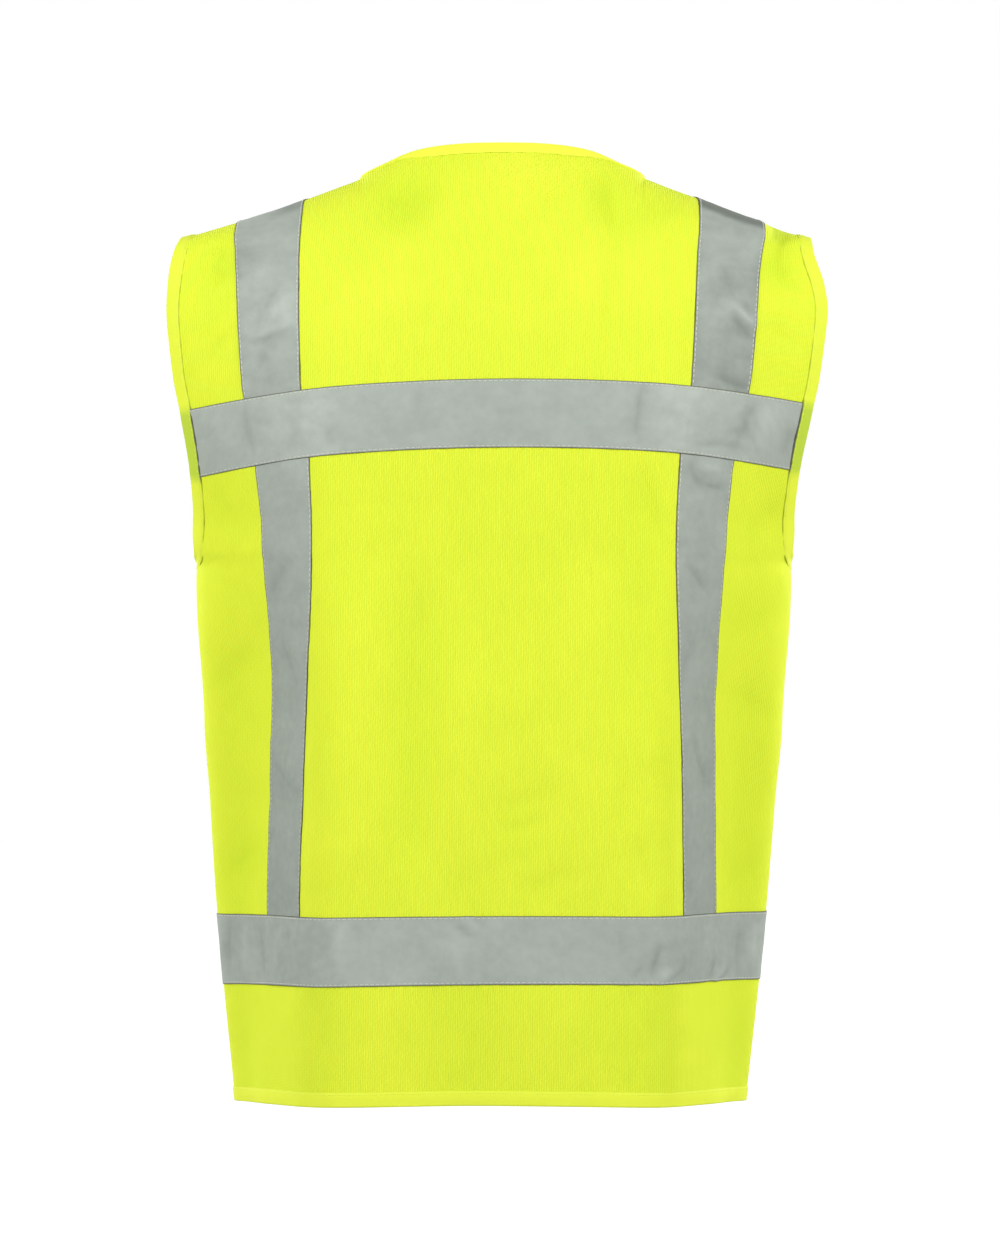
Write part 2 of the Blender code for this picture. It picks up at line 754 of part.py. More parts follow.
def add_panels(grids, finish):
    def shaped(grid, last, top, shoulder_from):
        """A panel grid with half a seam's gap at the side seam and at the ridge."""
        points = grid.points.copy()
        seam = drawn_in(grid, GAP / 2, last_col=True).points
        ridge = drawn_in(grid, GAP / 2, last_row=True).points
        points[: UNDERARM_ROW + 1, last] = seam[: UNDERARM_ROW + 1, last]
        points[top, shoulder_from:] = ridge[top, shoulder_from:]
        return Grid(points, grid.normals)

    left = shaped(grids["back", 1], BACK_LAST, BACK_TOP, NECK_COLUMN)
    right = shaped(grids["back", -1], BACK_LAST, BACK_TOP, NECK_COLUMN)
    whole = joined(flipped(right), left)

    def back_diagonal(r, c):
        """The two sides mirror each other, so the right side's cells are cut the other way."""
        if c < BACK_LAST:
            return not half_diagonal(BACK)(r, BACK_LAST - 1 - c)
        return half_diagonal(BACK)(r, c - BACK_LAST)

    layer_solid("back_panel", whole, 0.0, CLOTH, finish, back_diagonal)
    for side, name in ((1, "front_panel_left"), (-1, "front_panel_right")):
        front = shaped(grids["front", side], FRONT_LAST, FRONT_TOP, 0)
        layer_solid(name, front, 0.0, CLOTH, finish, half_diagonal(FRONT))


def add_tapes(grids, finish):
    left, right = grids["back", 1], grids["back", -1]

    def across_back(name, rows, last, distance):
        both = joined(flipped(patch(right, rows, (0, last))), patch(left, rows, (0, last)))
        both = drawn_in(both, distance, first_col=True, last_col=True)
        layer_solid(name, both, TAPE_INNER, TAPE_OUTER, finish, lambda r, c: c < last)

    across_back("chest_tape_back", (CHEST_LOW, CHEST_HIGH), BACK_LAST - 1, GAP)
    across_back("waist_tape_back", (WAIST_LOW, WAIST_HIGH), BACK_LAST, GAP / 2)
    for side, word in ((1, "left"), (-1, "right")):
        back, front = grids["back", side], grids["front", side]
        first = 1 if side > 0 else 2  # the right front's tapes stop at the closure

        def front_band(name, rows, last, distance):
            band = patch(front, rows, (first, last))
            band = drawn_in(band, GAP, first_col=True)
            band = drawn_in(band, distance, last_col=True)
            layer_solid(name, band, TAPE_INNER, TAPE_OUTER, finish)

        chest, waist = (FRONT_CHEST_LOW, FRONT_CHEST_HIGH), (WAIST_LOW, WAIST_HIGH)
        front_band(f"chest_tape_front_{word}", chest, FRONT_LAST - 1, GAP)
        front_band(f"waist_tape_front_{word}", waist, FRONT_LAST, GAP / 2)

        over = stacked(
            patch(back, (CHEST_HIGH, BACK_TOP), BACK_TAPE),
            patch(front, (FRONT_CHEST_HIGH, FRONT_TOP), FRONT_TAPE),
        )
        over = drawn_in(over, GAP, first_row=True, last_row=True)
        ridge = BACK_TOP - CHEST_HIGH
        layer_solid(
            f"shoulder_tape_{word}", over, TAPE_INNER, TAPE_OUTER, finish, lambda r, c: r >= ridge
        )
        for panel, cols, high, where in (
            (back, BACK_TAPE, CHEST_LOW, "back"),
            (front, FRONT_TAPE, FRONT_CHEST_LOW, "front"),
        ):
            brace = drawn_in(patch(panel, (WAIST_HIGH, high), cols), GAP, True, True)
            layer_solid(f"brace_tape_{where}_{word}", brace, TAPE_INNER, TAPE_OUTER, finish)


def add_bindings(grids, finish):
    # The hem, from the right front's edge round the back to the left front's edge
    hem = []
    for side in (-1, 1):
        front, back = grids["front", side], grids["back", side]
        run = [station(front, (HEM, c), (HEM_FLANGE, c), True) for c in range(FRONT_LAST)]
        run += [
            station(back, (HEM, c), (HEM_FLANGE, c), False) for c in range(BACK_LAST, -1, -1)
        ]
        hem += run[:-1] if side < 0 else turned_back(run)
    binding_solid("hem_binding", hem, finish)

    # The neck, from the right front's hem up over the back of the neck and down the left front
    neck = []
    for side in (-1, 1):
        front, back = grids["front", side], grids["back", side]
        lifted = drawn_in(patch(front, (HEM_FLANGE, FRONT_TOP), (0, 1)), GAP, first_row=True)
        run = [station(lifted, (r, 0), (r, 1), True) for r in range(FRONT_TOP - HEM_FLANGE)]
        corner = (BACK_TOP, NECK_COLUMN)
        below = station(back, corner, (BACK_TOP - 1, NECK_COLUMN), True)
        beside = station(back, corner, (BACK_TOP, NECK_COLUMN + 1), True)
        mitre = unit(below.out + beside.out)
        mitre = mitre / max(float(mitre @ below.out), 0.5)
        run += [beside._replace(out=mitre), below._replace(out=mitre)]
        run += [
            station(back, (BACK_TOP, c), (BACK_TOP - 1, c), True)
            for c in range(NECK_COLUMN - 1, -1, -1)
        ]
        neck += run[:-1] if side < 0 else turned_back(run)
    binding_solid("neck_binding", neck, finish)

    # The armholes, each a closed loop from the underarm up the back and down the front
    for side, word in ((1, "left"), (-1, "right")):
        front, back = grids["front", side], grids["back", side]
        seam_top = (UNDERARM_ROW, BACK_LAST)
        under = station(back, seam_top, (UNDERARM_FLANGE, BACK_LAST), False)
        loop = [under, station(back, seam_top, (UNDERARM_ROW, BACK_LAST - 1), False, under.out)]
        loop += [
            station(back, (r, BACK_LAST), (r, BACK_LAST - 1), False)
            for r in range(UNDERARM_ROW + 1, BACK_TOP)
        ]
        loop += [
            station(front, (r, FRONT_LAST), (r, FRONT_LAST - 1), True)
            for r in range(FRONT_TOP, UNDERARM_ROW, -1)
        ]
        seam_top = (UNDERARM_ROW, FRONT_LAST)
        loop += [station(front, seam_top, (UNDERARM_ROW, FRONT_LAST - 1), True, under.out)]
        binding_solid(f"armhole_binding_{word}", loop, finish, closed=True)


def add_closure(grids, finish):
    """Two fastener strips between the overlapping fronts: loops under the left front,
    hooks on the right one. Both run from above the hem's binding to below the V."""
    rows = (HEM_FLANGE, FRONT_CHEST_HIGH)
    for side, name, inner, outer in (
        (1, "loop_strip", -GAP - CLOSURE, -GAP),
        (-1, "hook_strip", CLOTH + GAP, CLOTH + GAP + CLOSURE),
    ):
        strip = drawn_in(patch(grids["front", side], rows, (1, 2)), GAP, True, False, True)
        layer_solid(name, strip, inner, outer, finish)


def main():
    for old in list(bpy.data.objects):
        bpy.data.objects.remove(old)
    grids = build_grids()
    add_panels(grids, material("yellow_knit", YELLOW, 0.75))
    add_tapes(grids, material("silver_tape", SILVER, 0.45))
    add_bindings(grids, material("yellow_binding", BINDING_YELLOW, 0.6))
    add_closure(grids, material("yellow_fastener", FASTENER_YELLOW, 0.8))


main()
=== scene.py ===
# %% [markdown]
# # A high-visibility safety vest, seen from the back
#
# The real object is a sleeveless vest of thin fluorescent yellow knit. Silver reflective tape,
# 50 mm wide, runs round the chest and the waist, over both shoulders and down the body. Here it
# is filled out as when worn, with nobody in it.
#
# This lesson dresses a finished CAD model. The frame below loads it, and each piece made here
# takes the place of one of its solids. Cloth could be simulated, but a vest that is already
# sewn and filled out is better drawn: its form is known, and its few creases can be placed.

# %% Load the frame
from typing import NamedTuple

import bmesh
import bpy
import numpy as np
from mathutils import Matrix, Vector
from mathutils.bvhtree import BVHTree


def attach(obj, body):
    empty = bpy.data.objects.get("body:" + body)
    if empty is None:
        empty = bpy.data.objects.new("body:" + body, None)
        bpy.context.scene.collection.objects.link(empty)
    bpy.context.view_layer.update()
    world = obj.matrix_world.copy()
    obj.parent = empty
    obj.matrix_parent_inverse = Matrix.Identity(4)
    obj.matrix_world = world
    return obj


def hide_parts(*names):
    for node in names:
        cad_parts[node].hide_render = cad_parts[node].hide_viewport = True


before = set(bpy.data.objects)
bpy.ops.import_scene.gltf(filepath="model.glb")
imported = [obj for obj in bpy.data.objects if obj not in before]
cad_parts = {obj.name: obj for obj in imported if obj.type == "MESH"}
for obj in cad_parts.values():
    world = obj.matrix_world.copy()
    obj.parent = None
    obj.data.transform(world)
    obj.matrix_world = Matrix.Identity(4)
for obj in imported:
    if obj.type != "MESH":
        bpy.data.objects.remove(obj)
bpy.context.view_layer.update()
print("nodes:", ", ".join(sorted(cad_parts)))

# %% [markdown]
# ## The sizes
#
# The cut of the vest is a set of named sizes and short tables, the same ones as in the CAD
# model. Only the right shoulder's corner, the settled top and the lean of the tapes are this
# scene's own, and its grid is finer. Heights are measured down from the point where the neck
# meets the shoulder, and distances across the cloth from the centre line of the back or of
# the front.

# %% Named sizes, in metres
TAPE_WIDTH = 0.050
BINDING_WIDTH = 0.010
HALF_PANEL = 0.280
FRONT_OVERLAP = 0.0205
CLOSURE_STEP = 0.0205
FRONT_SPREAD = 0.00215
SPREAD_HELD, SPREAD_GONE = 0.032, 0.085
NECK_HALF = 0.107
SHOULDER_HALF = 0.2385
UNDERARM = -0.290
BODY_HEIGHT = 0.400
V_BOTTOM, V_ROUNDING = -0.208, 0.10
TAPE_TOP = 0.1475
BACK_DEPTH, HEM_FLARE = 0.127, 0.016
ARCH_BACK, ARCH_FRONT = -0.250, -0.262
NECK_RISE = 0.025
RIDGE_NEAR, RIDGE_FAR = 0.012, 0.003
RIDGE_TOP, SHOULDER_SLOPE, SHOULDER_BEND = -0.0012, 0.395, 0.5
SIDE_ROUNDING = 0.045
TAPE_END, FLANK_START = 0.183, 0.215
QUARTER_TURN = np.pi / 2

# %% Tables of the form
# height, half width, turn of the cloth under the back's vertical tapes in degrees
LEVELS = (
    (-0.700, 0.1918, 58.0),
    (-0.621, 0.2003, 59.0),
    (-0.545, 0.2075, 60.0),
    (-0.470, 0.2128, 60.0),
    (-0.410, 0.2176, 59.0),
    (-0.350, 0.2218, 54.0),
    (-0.303, 0.2240, 46.0),
    (UNDERARM, 0.2237, 44.0),
)
# height, how far out the armhole stands, where it is cut in the back and in the front
SHOULDERS = (
    (-0.284, 0.2230, 0.2635, 0.2615),
    (-0.275, 0.2222, 0.2580, 0.2550),
    (-0.262, 0.2218, 0.2545, 0.2500),
    (-0.243, 0.2237, 0.2515, 0.2450),
    (-0.212, 0.2273, 0.2485, 0.2420),
    (-0.182, 0.2326, 0.2495, 0.2425),
    (-0.152, 0.2388, 0.2535, 0.2470),
    (-0.110, 0.2438, 0.2545, 0.2510),
    (-0.080, 0.2437, 0.2505, 0.2490),
    (-0.058, 0.2412, 0.2440, 0.2435),
    (-0.045, SHOULDER_HALF, 0.2390, 0.2390),
    (0.030, SHOULDER_HALF, 0.2387, 0.2387),
)
# height, how far the whole vest hangs towards the wearer's left
SWAY = ((-0.700, 0.0046), (-0.545, 0.0038), (-0.390, 0.0024), (-0.260, 0.0020), (-0.150, 0.0002),
        (-0.070, -0.0010), (-0.030, -0.0033), (0.030, -0.0046))
# height, how far the corner of the wearer's right shoulder is drawn in
RIGHT_CORNER = ((-0.700, 0.0), (-0.105, 0.0), (-0.084, 0.0022), (-0.070, 0.0055), (-0.058, 0.0072),
                (-0.045, 0.0056), (0.030, 0.0056))
# sideways place, how far the top has sunk there under the weight of the cloth
SETTLED = ((-0.240, 0.0018), (-0.190, 0.0010), (-0.150, 0.0), (-0.115, 0.0), (-0.090, 0.0015),
           (0.0, 0.0018), (0.240, 0.0018))
FLARE, FLARE_LENGTH = 0.0042, 0.030  # the tapes lean towards the neck near the shoulder seam
# height, inner edge of the vertical tapes
TAPE_BACK = ((-0.700, 0.1480), (-0.548, 0.1478), (-0.470, 0.1452), (-0.360, 0.1388),
             (-0.285, 0.1340), (-0.208, 0.1362), (-0.158, 0.1442), (-0.080, 0.1462),
             (-0.010, TAPE_TOP))
TAPE_FRONT = ((-0.700, 0.1220), (-0.548, 0.1220), (-0.272, 0.1240), (-0.222, 0.1270),
              (-0.100, 0.1400), (-0.010, TAPE_TOP))
# distance from the centre line, height of the neckline of the back
NECKLINE = ((0.0, 0.0203), (0.020, 0.0201), (0.040, 0.0190), (0.055, 0.0172), (0.065, 0.0152),
            (0.074, 0.0122), (0.085, 0.0076), (0.097, 0.0032), (NECK_HALF, RIDGE_TOP))

# %% [markdown]
# Each line across a panel, such as a tape's edge, is a row of the grid that the cloth is made
# from. So a tape lies exactly between two rows, and nothing has to be cut out of a mesh.

# %% Rows and folds
# height at the centre, how much lower its ends are, how much higher at the wearer's right, cells
ROWS = (
    (-0.6837, 0.012, 0.0, 0),
    (-0.6737, 0.012, 0.0, 3),
    (-0.5975, 0.009, 0.0020, 20),
    (-0.5480, 0.006, 0.0010, 14),
    (-0.2870, 0.013, 0.0, 66),
    (-0.2770, 0.013, 0.0, 3),
    (-0.2080, 0.022, 0.0030, 18),
    (-0.1580, 0.022, 0.0030, 14),
)
FRONT_LIFTS = (0.006, 0.006, 0.004, 0.003, 0.006, 0.006)
FRONT_ROWS = ((-0.2720, 0.008, 0.0, 4), (-0.2220, 0.008, 0.0, 14))
BACK_TOP_CELLS, FRONT_TOP_CELLS = 56, 70

# %% [markdown]
# ## Curves
#
# A few small helpers carry the whole form. `smooth` draws a line through a table with no
# corners and no overshoot, which is what a bent edge of cloth looks like.

# %% Helpers for curves


def eased(t):
    """0 to 1 with level ends."""
    t = np.clip(t, 0.0, 1.0)
    return t * t * (3.0 - 2.0 * t)


def smooth(pairs, at):
    """A line through (place, value) pairs with no overshoot and no corners."""
    places, values = np.array(pairs, float).T
    steps = np.diff(places)
    rises = np.diff(values) / steps
    slopes = np.zeros(len(places))
    same_way = rises[:-1] * rises[1:] > 0
    both = rises[:-1] + rises[1:]
    slopes[1:-1][same_way] = 2 * (rises[:-1] * rises[1:])[same_way] / both[same_way]
    slopes[0], slopes[-1] = rises[0], rises[-1]
    at = np.clip(at, places[0], places[-1])
    i = np.clip(np.searchsorted(places, at, side="right") - 1, 0, len(steps) - 1)
    h = steps[i]
    t = (at - places[i]) / h
    return (
        values[i] * (1 + 2 * t) * (1 - t) ** 2
        + slopes[i] * h * t * (1 - t) ** 2
        + values[i + 1] * t * t * (3 - 2 * t)
        + slopes[i + 1] * h * t * t * (t - 1)
    )


def solved(function, low, high, goal):
    """Where a rising function reaches its goal, by halving the range 40 times."""
    for _ in range(40):
        middle = (low + high) / 2
        low, high = (middle, high) if function(middle) < goal else (low, middle)
    return (low + high) / 2


def unit(vectors):
    return vectors / np.maximum(np.linalg.norm(vectors, axis=-1, keepdims=True), 1e-12)


def distance_along(points):
    """How far along its line each point is. The lines of a grid are its columns."""
    steps = np.linalg.norm(np.diff(points, axis=0), axis=-1)
    return np.concatenate([np.zeros((1, *steps.shape[1:])), np.cumsum(steps, axis=0)])


def softened(values, closed=False, axis=0):
    """Each value averaged with its neighbours. The ends stay, unless the line is closed."""
    v = np.moveaxis(values, axis, 0)
    out = (np.roll(v, 1, 0) + 2 * v + np.roll(v, -1, 0)) / 4
    if not closed:
        out[[0, -1]] = v[[0, -1]]
    return np.moveaxis(out, 0, axis)


# %% [markdown]
# ## The form under the cloth
#
# Seen from above, each half of the vest is flat near the centre line, bends round a corner,
# runs back along the vertical tape and the flank, and rounds over at the side seam. The bend
# is given as an angle along the cloth, so the length of the cloth is right by itself, as it is
# when a real panel is wrapped round something.

# %% The half sections
SAMPLES = (np.arange(64) + 0.5) / 64


class Half(NamedTuple):
    name: str
    sign: float
    bow: float
    corner_start: float
    corner_width: float


BACK = Half("back", 1.0, np.radians(4.0), 0.104, 0.044)
FRONT = Half("front", -1.0, np.radians(5.0), 0.080, 0.060)


def travelled(half, along, tape_turn, flank_turn):
    """How far sideways and how far towards the side seam's depth a point has come."""
    along, tape_turn, flank_turn = (
        np.asarray(a, float)[..., None] for a in np.broadcast_arrays(along, tape_turn, flank_turn)
    )
    passed = along * SAMPLES
    bowed = half.bow * np.clip(passed / half.corner_start, 0.0, 1.0)
    corner = eased((passed - half.corner_start) / half.corner_width)
    flank = eased((passed - TAPE_END) / (FLANK_START - TAPE_END))
    side = eased((passed - HALF_PANEL + SIDE_ROUNDING) / SIDE_ROUNDING)
    angle = bowed + (tape_turn - half.bow) * corner
    angle = angle + (flank_turn - tape_turn) * flank + (QUARTER_TURN - flank_turn) * side
    along = along[..., 0]
    return along * np.cos(angle).mean(-1), np.abs(along) * np.sin(np.abs(angle)).mean(-1)


def turns_of(half):
    """(height, tape's turn) and (height, flank's turn) pairs, solved from the outline."""
    heights, tape, flank = [], [], []
    body = [(h, width, HALF_PANEL, np.radians(turn) if half is BACK else None)
            for h, width, turn in LEVELS]
    arms = [(h, out, back if half is BACK else front, None) for h, out, back, front in SHOULDERS]
    for height, width, along, given in body + arms:

        def reach(upright):
            turn = QUARTER_TURN - upright
            return travelled(half, along, turn if given is None else given, turn)[0]

        turn = QUARTER_TURN - solved(reach, 0.0, QUARTER_TURN, width)
        heights.append(height)
        flank.append(turn)
        tape.append(turn if given is None else given)
    return list(zip(heights, tape)), list(zip(heights, flank))


TURNS = {half.name: turns_of(half) for half in (BACK, FRONT)}


def carried(half, along, height):
    tape, flank = TURNS[half.name]
    return travelled(half, along, smooth(tape, height), smooth(flank, height))


for half in (BACK, FRONT):
    print(half.name, "turns by", round(float(np.degrees(TURNS[half.name][1][0][1]))), "degrees at the hem")

# %% [markdown]
# Towards the shoulders the form closes over, like the end of a pillow. `closing` is 1 where
# the cloth stands upright, and falls to 0 on the ridge where the back meets the fronts.

# %% Closing over the shoulders


def centre_depth(half, height):
    low = np.minimum(height, UNDERARM)
    back = BACK_DEPTH + HEM_FLARE * (UNDERARM - low) / BODY_HEIGHT
    if half is BACK:
        return back
    return back - carried(BACK, HALF_PANEL, low)[1] - carried(FRONT, HALF_PANEL, low)[1]


def ridge_height(across):
    out = np.abs(across) - NECK_HALF
    return RIDGE_TOP - SHOULDER_SLOPE * out + SHOULDER_BEND * np.maximum(out, 0.0) ** 2


def ridge_depth(across):
    share = (np.abs(across) - NECK_HALF) / (SHOULDER_HALF - NECK_HALF)
    return RIDGE_NEAR + (RIDGE_FAR - RIDGE_NEAR) * eased(share)


def top_height(half, across):
    behind_neck = (half is BACK) & (np.abs(across) < NECK_HALF)
    return np.where(behind_neck, smooth(NECKLINE, np.abs(across)), ridge_height(across))


def place(half, across, drop, height):
    """The point of the form for a sideways place, a drop from the centre's depth and a height."""
    start, power_up, power_in = (ARCH_BACK, 2.5, 2.5) if half is BACK else (ARCH_FRONT, 1.9, 2.0)
    inside = np.clip(1 - (across / NECK_HALF) ** 2, 0.0, 1.0)
    closed = top_height(half, across) + (NECK_RISE * inside if half is BACK else 0.0)
    share = np.clip((height - start) / (closed - start), 0.0, 1.0)
    closing = (1 - share**power_up) ** (1 / power_in)
    ridge = ridge_depth(across)
    depth = ridge + (centre_depth(half, height) - half.sign * drop - ridge) * closing
    return np.stack(np.broadcast_arrays(across, depth, height), axis=-1)


# %% [markdown]
# ## The lines of the cut
#
# The columns of the grid follow the lines that a tailor would chalk: the centre, the edges of
# the vertical tape, the edge of the armhole and the inner edge of its binding. On the fronts
# they start at the front edge, which turns outwards into the V of the neckline.

# %% Lines down the panels


def side_edge(half, height):
    cuts = [(row[0], row[2] if half is BACK else row[3]) for row in SHOULDERS]
    return smooth([(UNDERARM, HALF_PANEL)] + cuts, height)


def slanted(edge, half, height, most):
    rate = (edge(half, height + 0.001) - edge(half, height - 0.001)) / 0.002
    return np.minimum(BINDING_WIDTH * np.hypot(1.0, rate), most)


def side_flange(half, height):
    width = slanted(side_edge, half, height, 0.016)
    return side_edge(half, height) - np.where(height < UNDERARM, BINDING_WIDTH, width)


def front_edge(half, height):
    share = np.clip((height - V_BOTTOM) / (RIDGE_TOP - V_BOTTOM), 0.0, 1.0)
    climb = (np.hypot(share, V_ROUNDING) - V_ROUNDING) / (np.hypot(1.0, V_ROUNDING) - V_ROUNDING)
    return -FRONT_OVERLAP + (NECK_HALF + FRONT_OVERLAP) * climb


def front_flange(half, height):
    return front_edge(half, height) + slanted(front_edge, half, height, 0.013)


def closure_edge(half, height):
    share = eased((height - V_BOTTOM) / (0.0 - V_BOTTOM))
    guide = (TAPE_TOP - NECK_HALF - BINDING_WIDTH) / 4
    return front_flange(half, height) + CLOSURE_STEP + (guide - CLOSURE_STEP) * share


def tape_inner(half, height):
    return smooth(TAPE_BACK if half is BACK else TAPE_FRONT, height)


def tape_outer(half, height):
    return tape_inner(half, height) + TAPE_WIDTH


def constant(value):
    return lambda half, height: np.full(np.shape(height), value)


# %% [markdown]
# Between two of these lines lies a fixed number of cells, from the hem to the top. So the grid
# keeps its columns, and only their distances change.

# %% Columns and rows


class Lines(NamedTuple):
    stops: tuple
    cells: tuple
    top: tuple


NECK_FLANGE = NECK_HALF + BINDING_WIDTH
OUTER_TOP = (TAPE_TOP, TAPE_TOP + TAPE_WIDTH, SHOULDER_HALF - BINDING_WIDTH, SHOULDER_HALF)
BACK_LINES = Lines(
    (constant(0.0), constant(NECK_HALF), constant(NECK_FLANGE), tape_inner, tape_outer,
     side_flange, side_edge),
    (32, 3, 8, 16, 22, 4),
    (0.0, NECK_HALF, NECK_FLANGE, *OUTER_TOP),
)
FRONT_LINES = Lines(
    (front_edge, front_flange, closure_edge, tape_inner, tape_outer, side_flange, side_edge),
    (4, 7, 26, 16, 22, 4),
    (NECK_HALF, NECK_FLANGE, NECK_FLANGE + (TAPE_TOP - NECK_FLANGE) / 4, *OUTER_TOP),
)


def spread_out(values, cells):
    out = [values[0]]
    for a, b, count in zip(values[:-1], values[1:], cells):
        out += [a + (b - a) * k / count for k in range(1, count + 1)]
    return out


def columns(half, lines, heights):
    """Distances along the cloth: one column for each last entry of heights."""
    out = np.empty(heights.shape)
    first = 0
    for k, count in enumerate(lines.cells):
        last = first + count + (k == len(lines.cells) - 1)
        part = heights[..., first:last]
        near, far = lines.stops[k](half, part), lines.stops[k + 1](half, part)
        out[..., first:last] = near + (far - near) * (np.arange(last - first) / count)
        first += count
    return out


HEM, HEM_FLANGE, WAIST_LOW, WAIST_HIGH, _, UNDERARM_ROW, CHEST_LOW, CHEST_HIGH = (
    np.cumsum([row[3] for row in ROWS]).tolist()
)
FRONT_CHEST_LOW = UNDERARM_ROW + FRONT_ROWS[0][3]
FRONT_CHEST_HIGH = FRONT_CHEST_LOW + FRONT_ROWS[1][3]
BACK_TOP, FRONT_TOP = CHEST_HIGH + BACK_TOP_CELLS, FRONT_CHEST_HIGH + FRONT_TOP_CELLS
BACK_LAST, FRONT_LAST = sum(BACK_LINES.cells), sum(FRONT_LINES.cells)
NECK_COLUMN = BACK_LINES.cells[0]
BACK_TAPE = sum(BACK_LINES.cells[:3]), sum(BACK_LINES.cells[:4])
FRONT_TAPE = sum(FRONT_LINES.cells[:3]), sum(FRONT_LINES.cells[:4])
print("rows", BACK_TOP + 1, "columns", BACK_LAST + 1, "on each side of the back")

# %% [markdown]
# ## Laying the cloth on the form
#
# Up to the top of the chest tape, each row of the grid has a height of its own, and droops
# towards the sides as it does on a body.

# %% Rows up to the chest tape


def lower_rows(half, lines, side):
    """Height and distance along the cloth for each crossing, up to the chest tape's top."""
    cells = [row[3] for row in ROWS[1:]]
    table = [np.array(row[:3]) for row in ROWS]
    level, droop, tilt = np.array(spread_out(table, cells)).T[..., None]
    lift = 0.0
    if half is FRONT:
        count = UNDERARM_ROW + 1
        lifts = np.array(spread_out(list(FRONT_LIFTS), cells[: len(FRONT_LIFTS) - 1]))
        under = np.array([(level - droop)[count - 1, 0], lifts[-1], 0.0])
        own = [under] + [np.array([h - d, d, t]) for h, d, t, _ in FRONT_ROWS]
        own = np.array(spread_out(own, [row[3] for row in FRONT_ROWS]))[1:]
        lift = np.concatenate([lifts, own[:, 1]])[:, None]
        level = np.concatenate([(level - droop)[:count], own[:, :1]])
        tilt = np.concatenate([tilt[:count], own[:, 2:]])
        droop = 0.0
    heights = np.broadcast_to(level, (len(level), sum(lines.cells) + 1)).copy()
    for _ in range(6):
        along = columns(half, lines, heights)
        along[: UNDERARM_ROW + 1, -1] = HALF_PANEL
        share = np.clip(along / HALF_PANEL, 0.0, 1.0)
        heights = level - droop * share**2 + lift * (1 - share**2) - side * tilt * share
    return heights, along


# %% [markdown]
# Above the chest tape each column climbs the form to its place on the upper edge. Its points
# are spread evenly on the way.

# %% Points of one side of a panel
CLIMB_SAMPLES = 161


def panel_points(half, side):
    """Points, distances along the cloth and climbed lengths, hem to top and centre to side."""
    lines = BACK_LINES if half is BACK else FRONT_LINES
    top_cells = BACK_TOP_CELLS if half is BACK else FRONT_TOP_CELLS
    heights, along = lower_rows(half, lines, side)
    across, drop = carried(half, along, heights)
    lower, lower_along = place(half, across, drop, heights), along
    top_across = np.array(spread_out(list(lines.top), lines.cells))
    climb = np.linspace(0.0, 1.0, CLIMB_SAMPLES)[:, None]
    heights = heights[-1] + (top_height(half, top_across) - heights[-1]) * climb
    along = columns(half, lines, heights)
    across, drop = carried(half, along, heights)
    across = across + (top_across - across[-1]) * eased(climb)
    traced = place(half, across, drop, heights)
    length = distance_along(traced)
    wanted = length[-1:] * np.linspace(0.0, 1.0, top_cells + 1)[1:, None]
    upper = np.empty((top_cells, traced.shape[1], 3))
    upper_along = np.empty((top_cells, traced.shape[1]))
    for c in range(traced.shape[1]):
        for axis in range(3):
            upper[:, c, axis] = np.interp(wanted[:, c], length[:, c], traced[:, c, axis])
        upper_along[:, c] = np.interp(wanted[:, c], length[:, c], along[:, c])
    points = np.concatenate([lower, upper])
    along = np.concatenate([lower_along, upper_along])
    points[..., 0] *= side
    return points, along * side


# %% [markdown]
# The back is one sheet from armhole to armhole. Each front shares the points of its side seam
# with the back.

# %% The three sheets


class Sheet(NamedTuple):
    """Cloth as rows and columns. Each field holds one value, or one place, for each point."""

    points: np.ndarray
    normals: np.ndarray
    along: np.ndarray  # distance from the centre line, along the cloth
    climbed: np.ndarray  # distance from the hem
    to_top: np.ndarray  # distance from the upper edge
    to_ridge: np.ndarray  # distance from the shoulder seam, or 1
    fold: np.ndarray  # how deep the long folds are here, ridges negative
    crease: np.ndarray  # the same for the short creases


def bare_sheet(points, along):
    climbed = distance_along(points)
    to_top = climbed[-1:] - climbed
    to_ridge = np.where(np.abs(points[-1:, :, 0]) >= NECK_HALF - 1e-6, to_top, 1.0)
    none = np.zeros(along.shape)
    return Sheet(points, np.zeros(points.shape), along, climbed, to_top, to_ridge, none, none)


def laid_out():
    """The back as one sheet from right to left, and the two fronts."""
    parts = {side: panel_points(BACK, side) for side in (1, -1)}
    points, along = (
        np.concatenate([parts[-1][k][:, ::-1], parts[1][k][:, 1:]], axis=1) for k in (0, 1)
    )
    sheets = {"back": bare_sheet(points, along)}
    for side, name in ((1, "left"), (-1, "right")):
        points, along = panel_points(FRONT, side)
        seam = parts[side][0][: UNDERARM_ROW + 1, -1]
        points[: UNDERARM_ROW + 1, -1] = seam
        sheets[name] = bare_sheet(points, along)
    return sheets


sheets = laid_out()
for name, sheet in sheets.items():
    print(name, sheet.points.shape[:2], "climbs", round(float(sheet.climbed[-1].max()), 3), "m")

# %% [markdown]
# ## Normals that agree at the seams
#
# A crease is pressed into the cloth along its normal. Where two panels are sewn together they
# share their edge, so their normals are averaged there, and the seam neither opens nor steps.

# %% Normals


def triangle_normals(points):
    """The sum of the face normals round each point of a grid, longer for larger faces."""
    a, b, c, d = points[:-1, :-1], points[:-1, 1:], points[1:, 1:], points[1:, :-1]
    face = np.cross(c - a, d - b)
    total = np.zeros(points.shape)
    for rows in (slice(0, -1), slice(1, None)):
        for cols in (slice(0, -1), slice(1, None)):
            total[rows, cols] += face
    return total


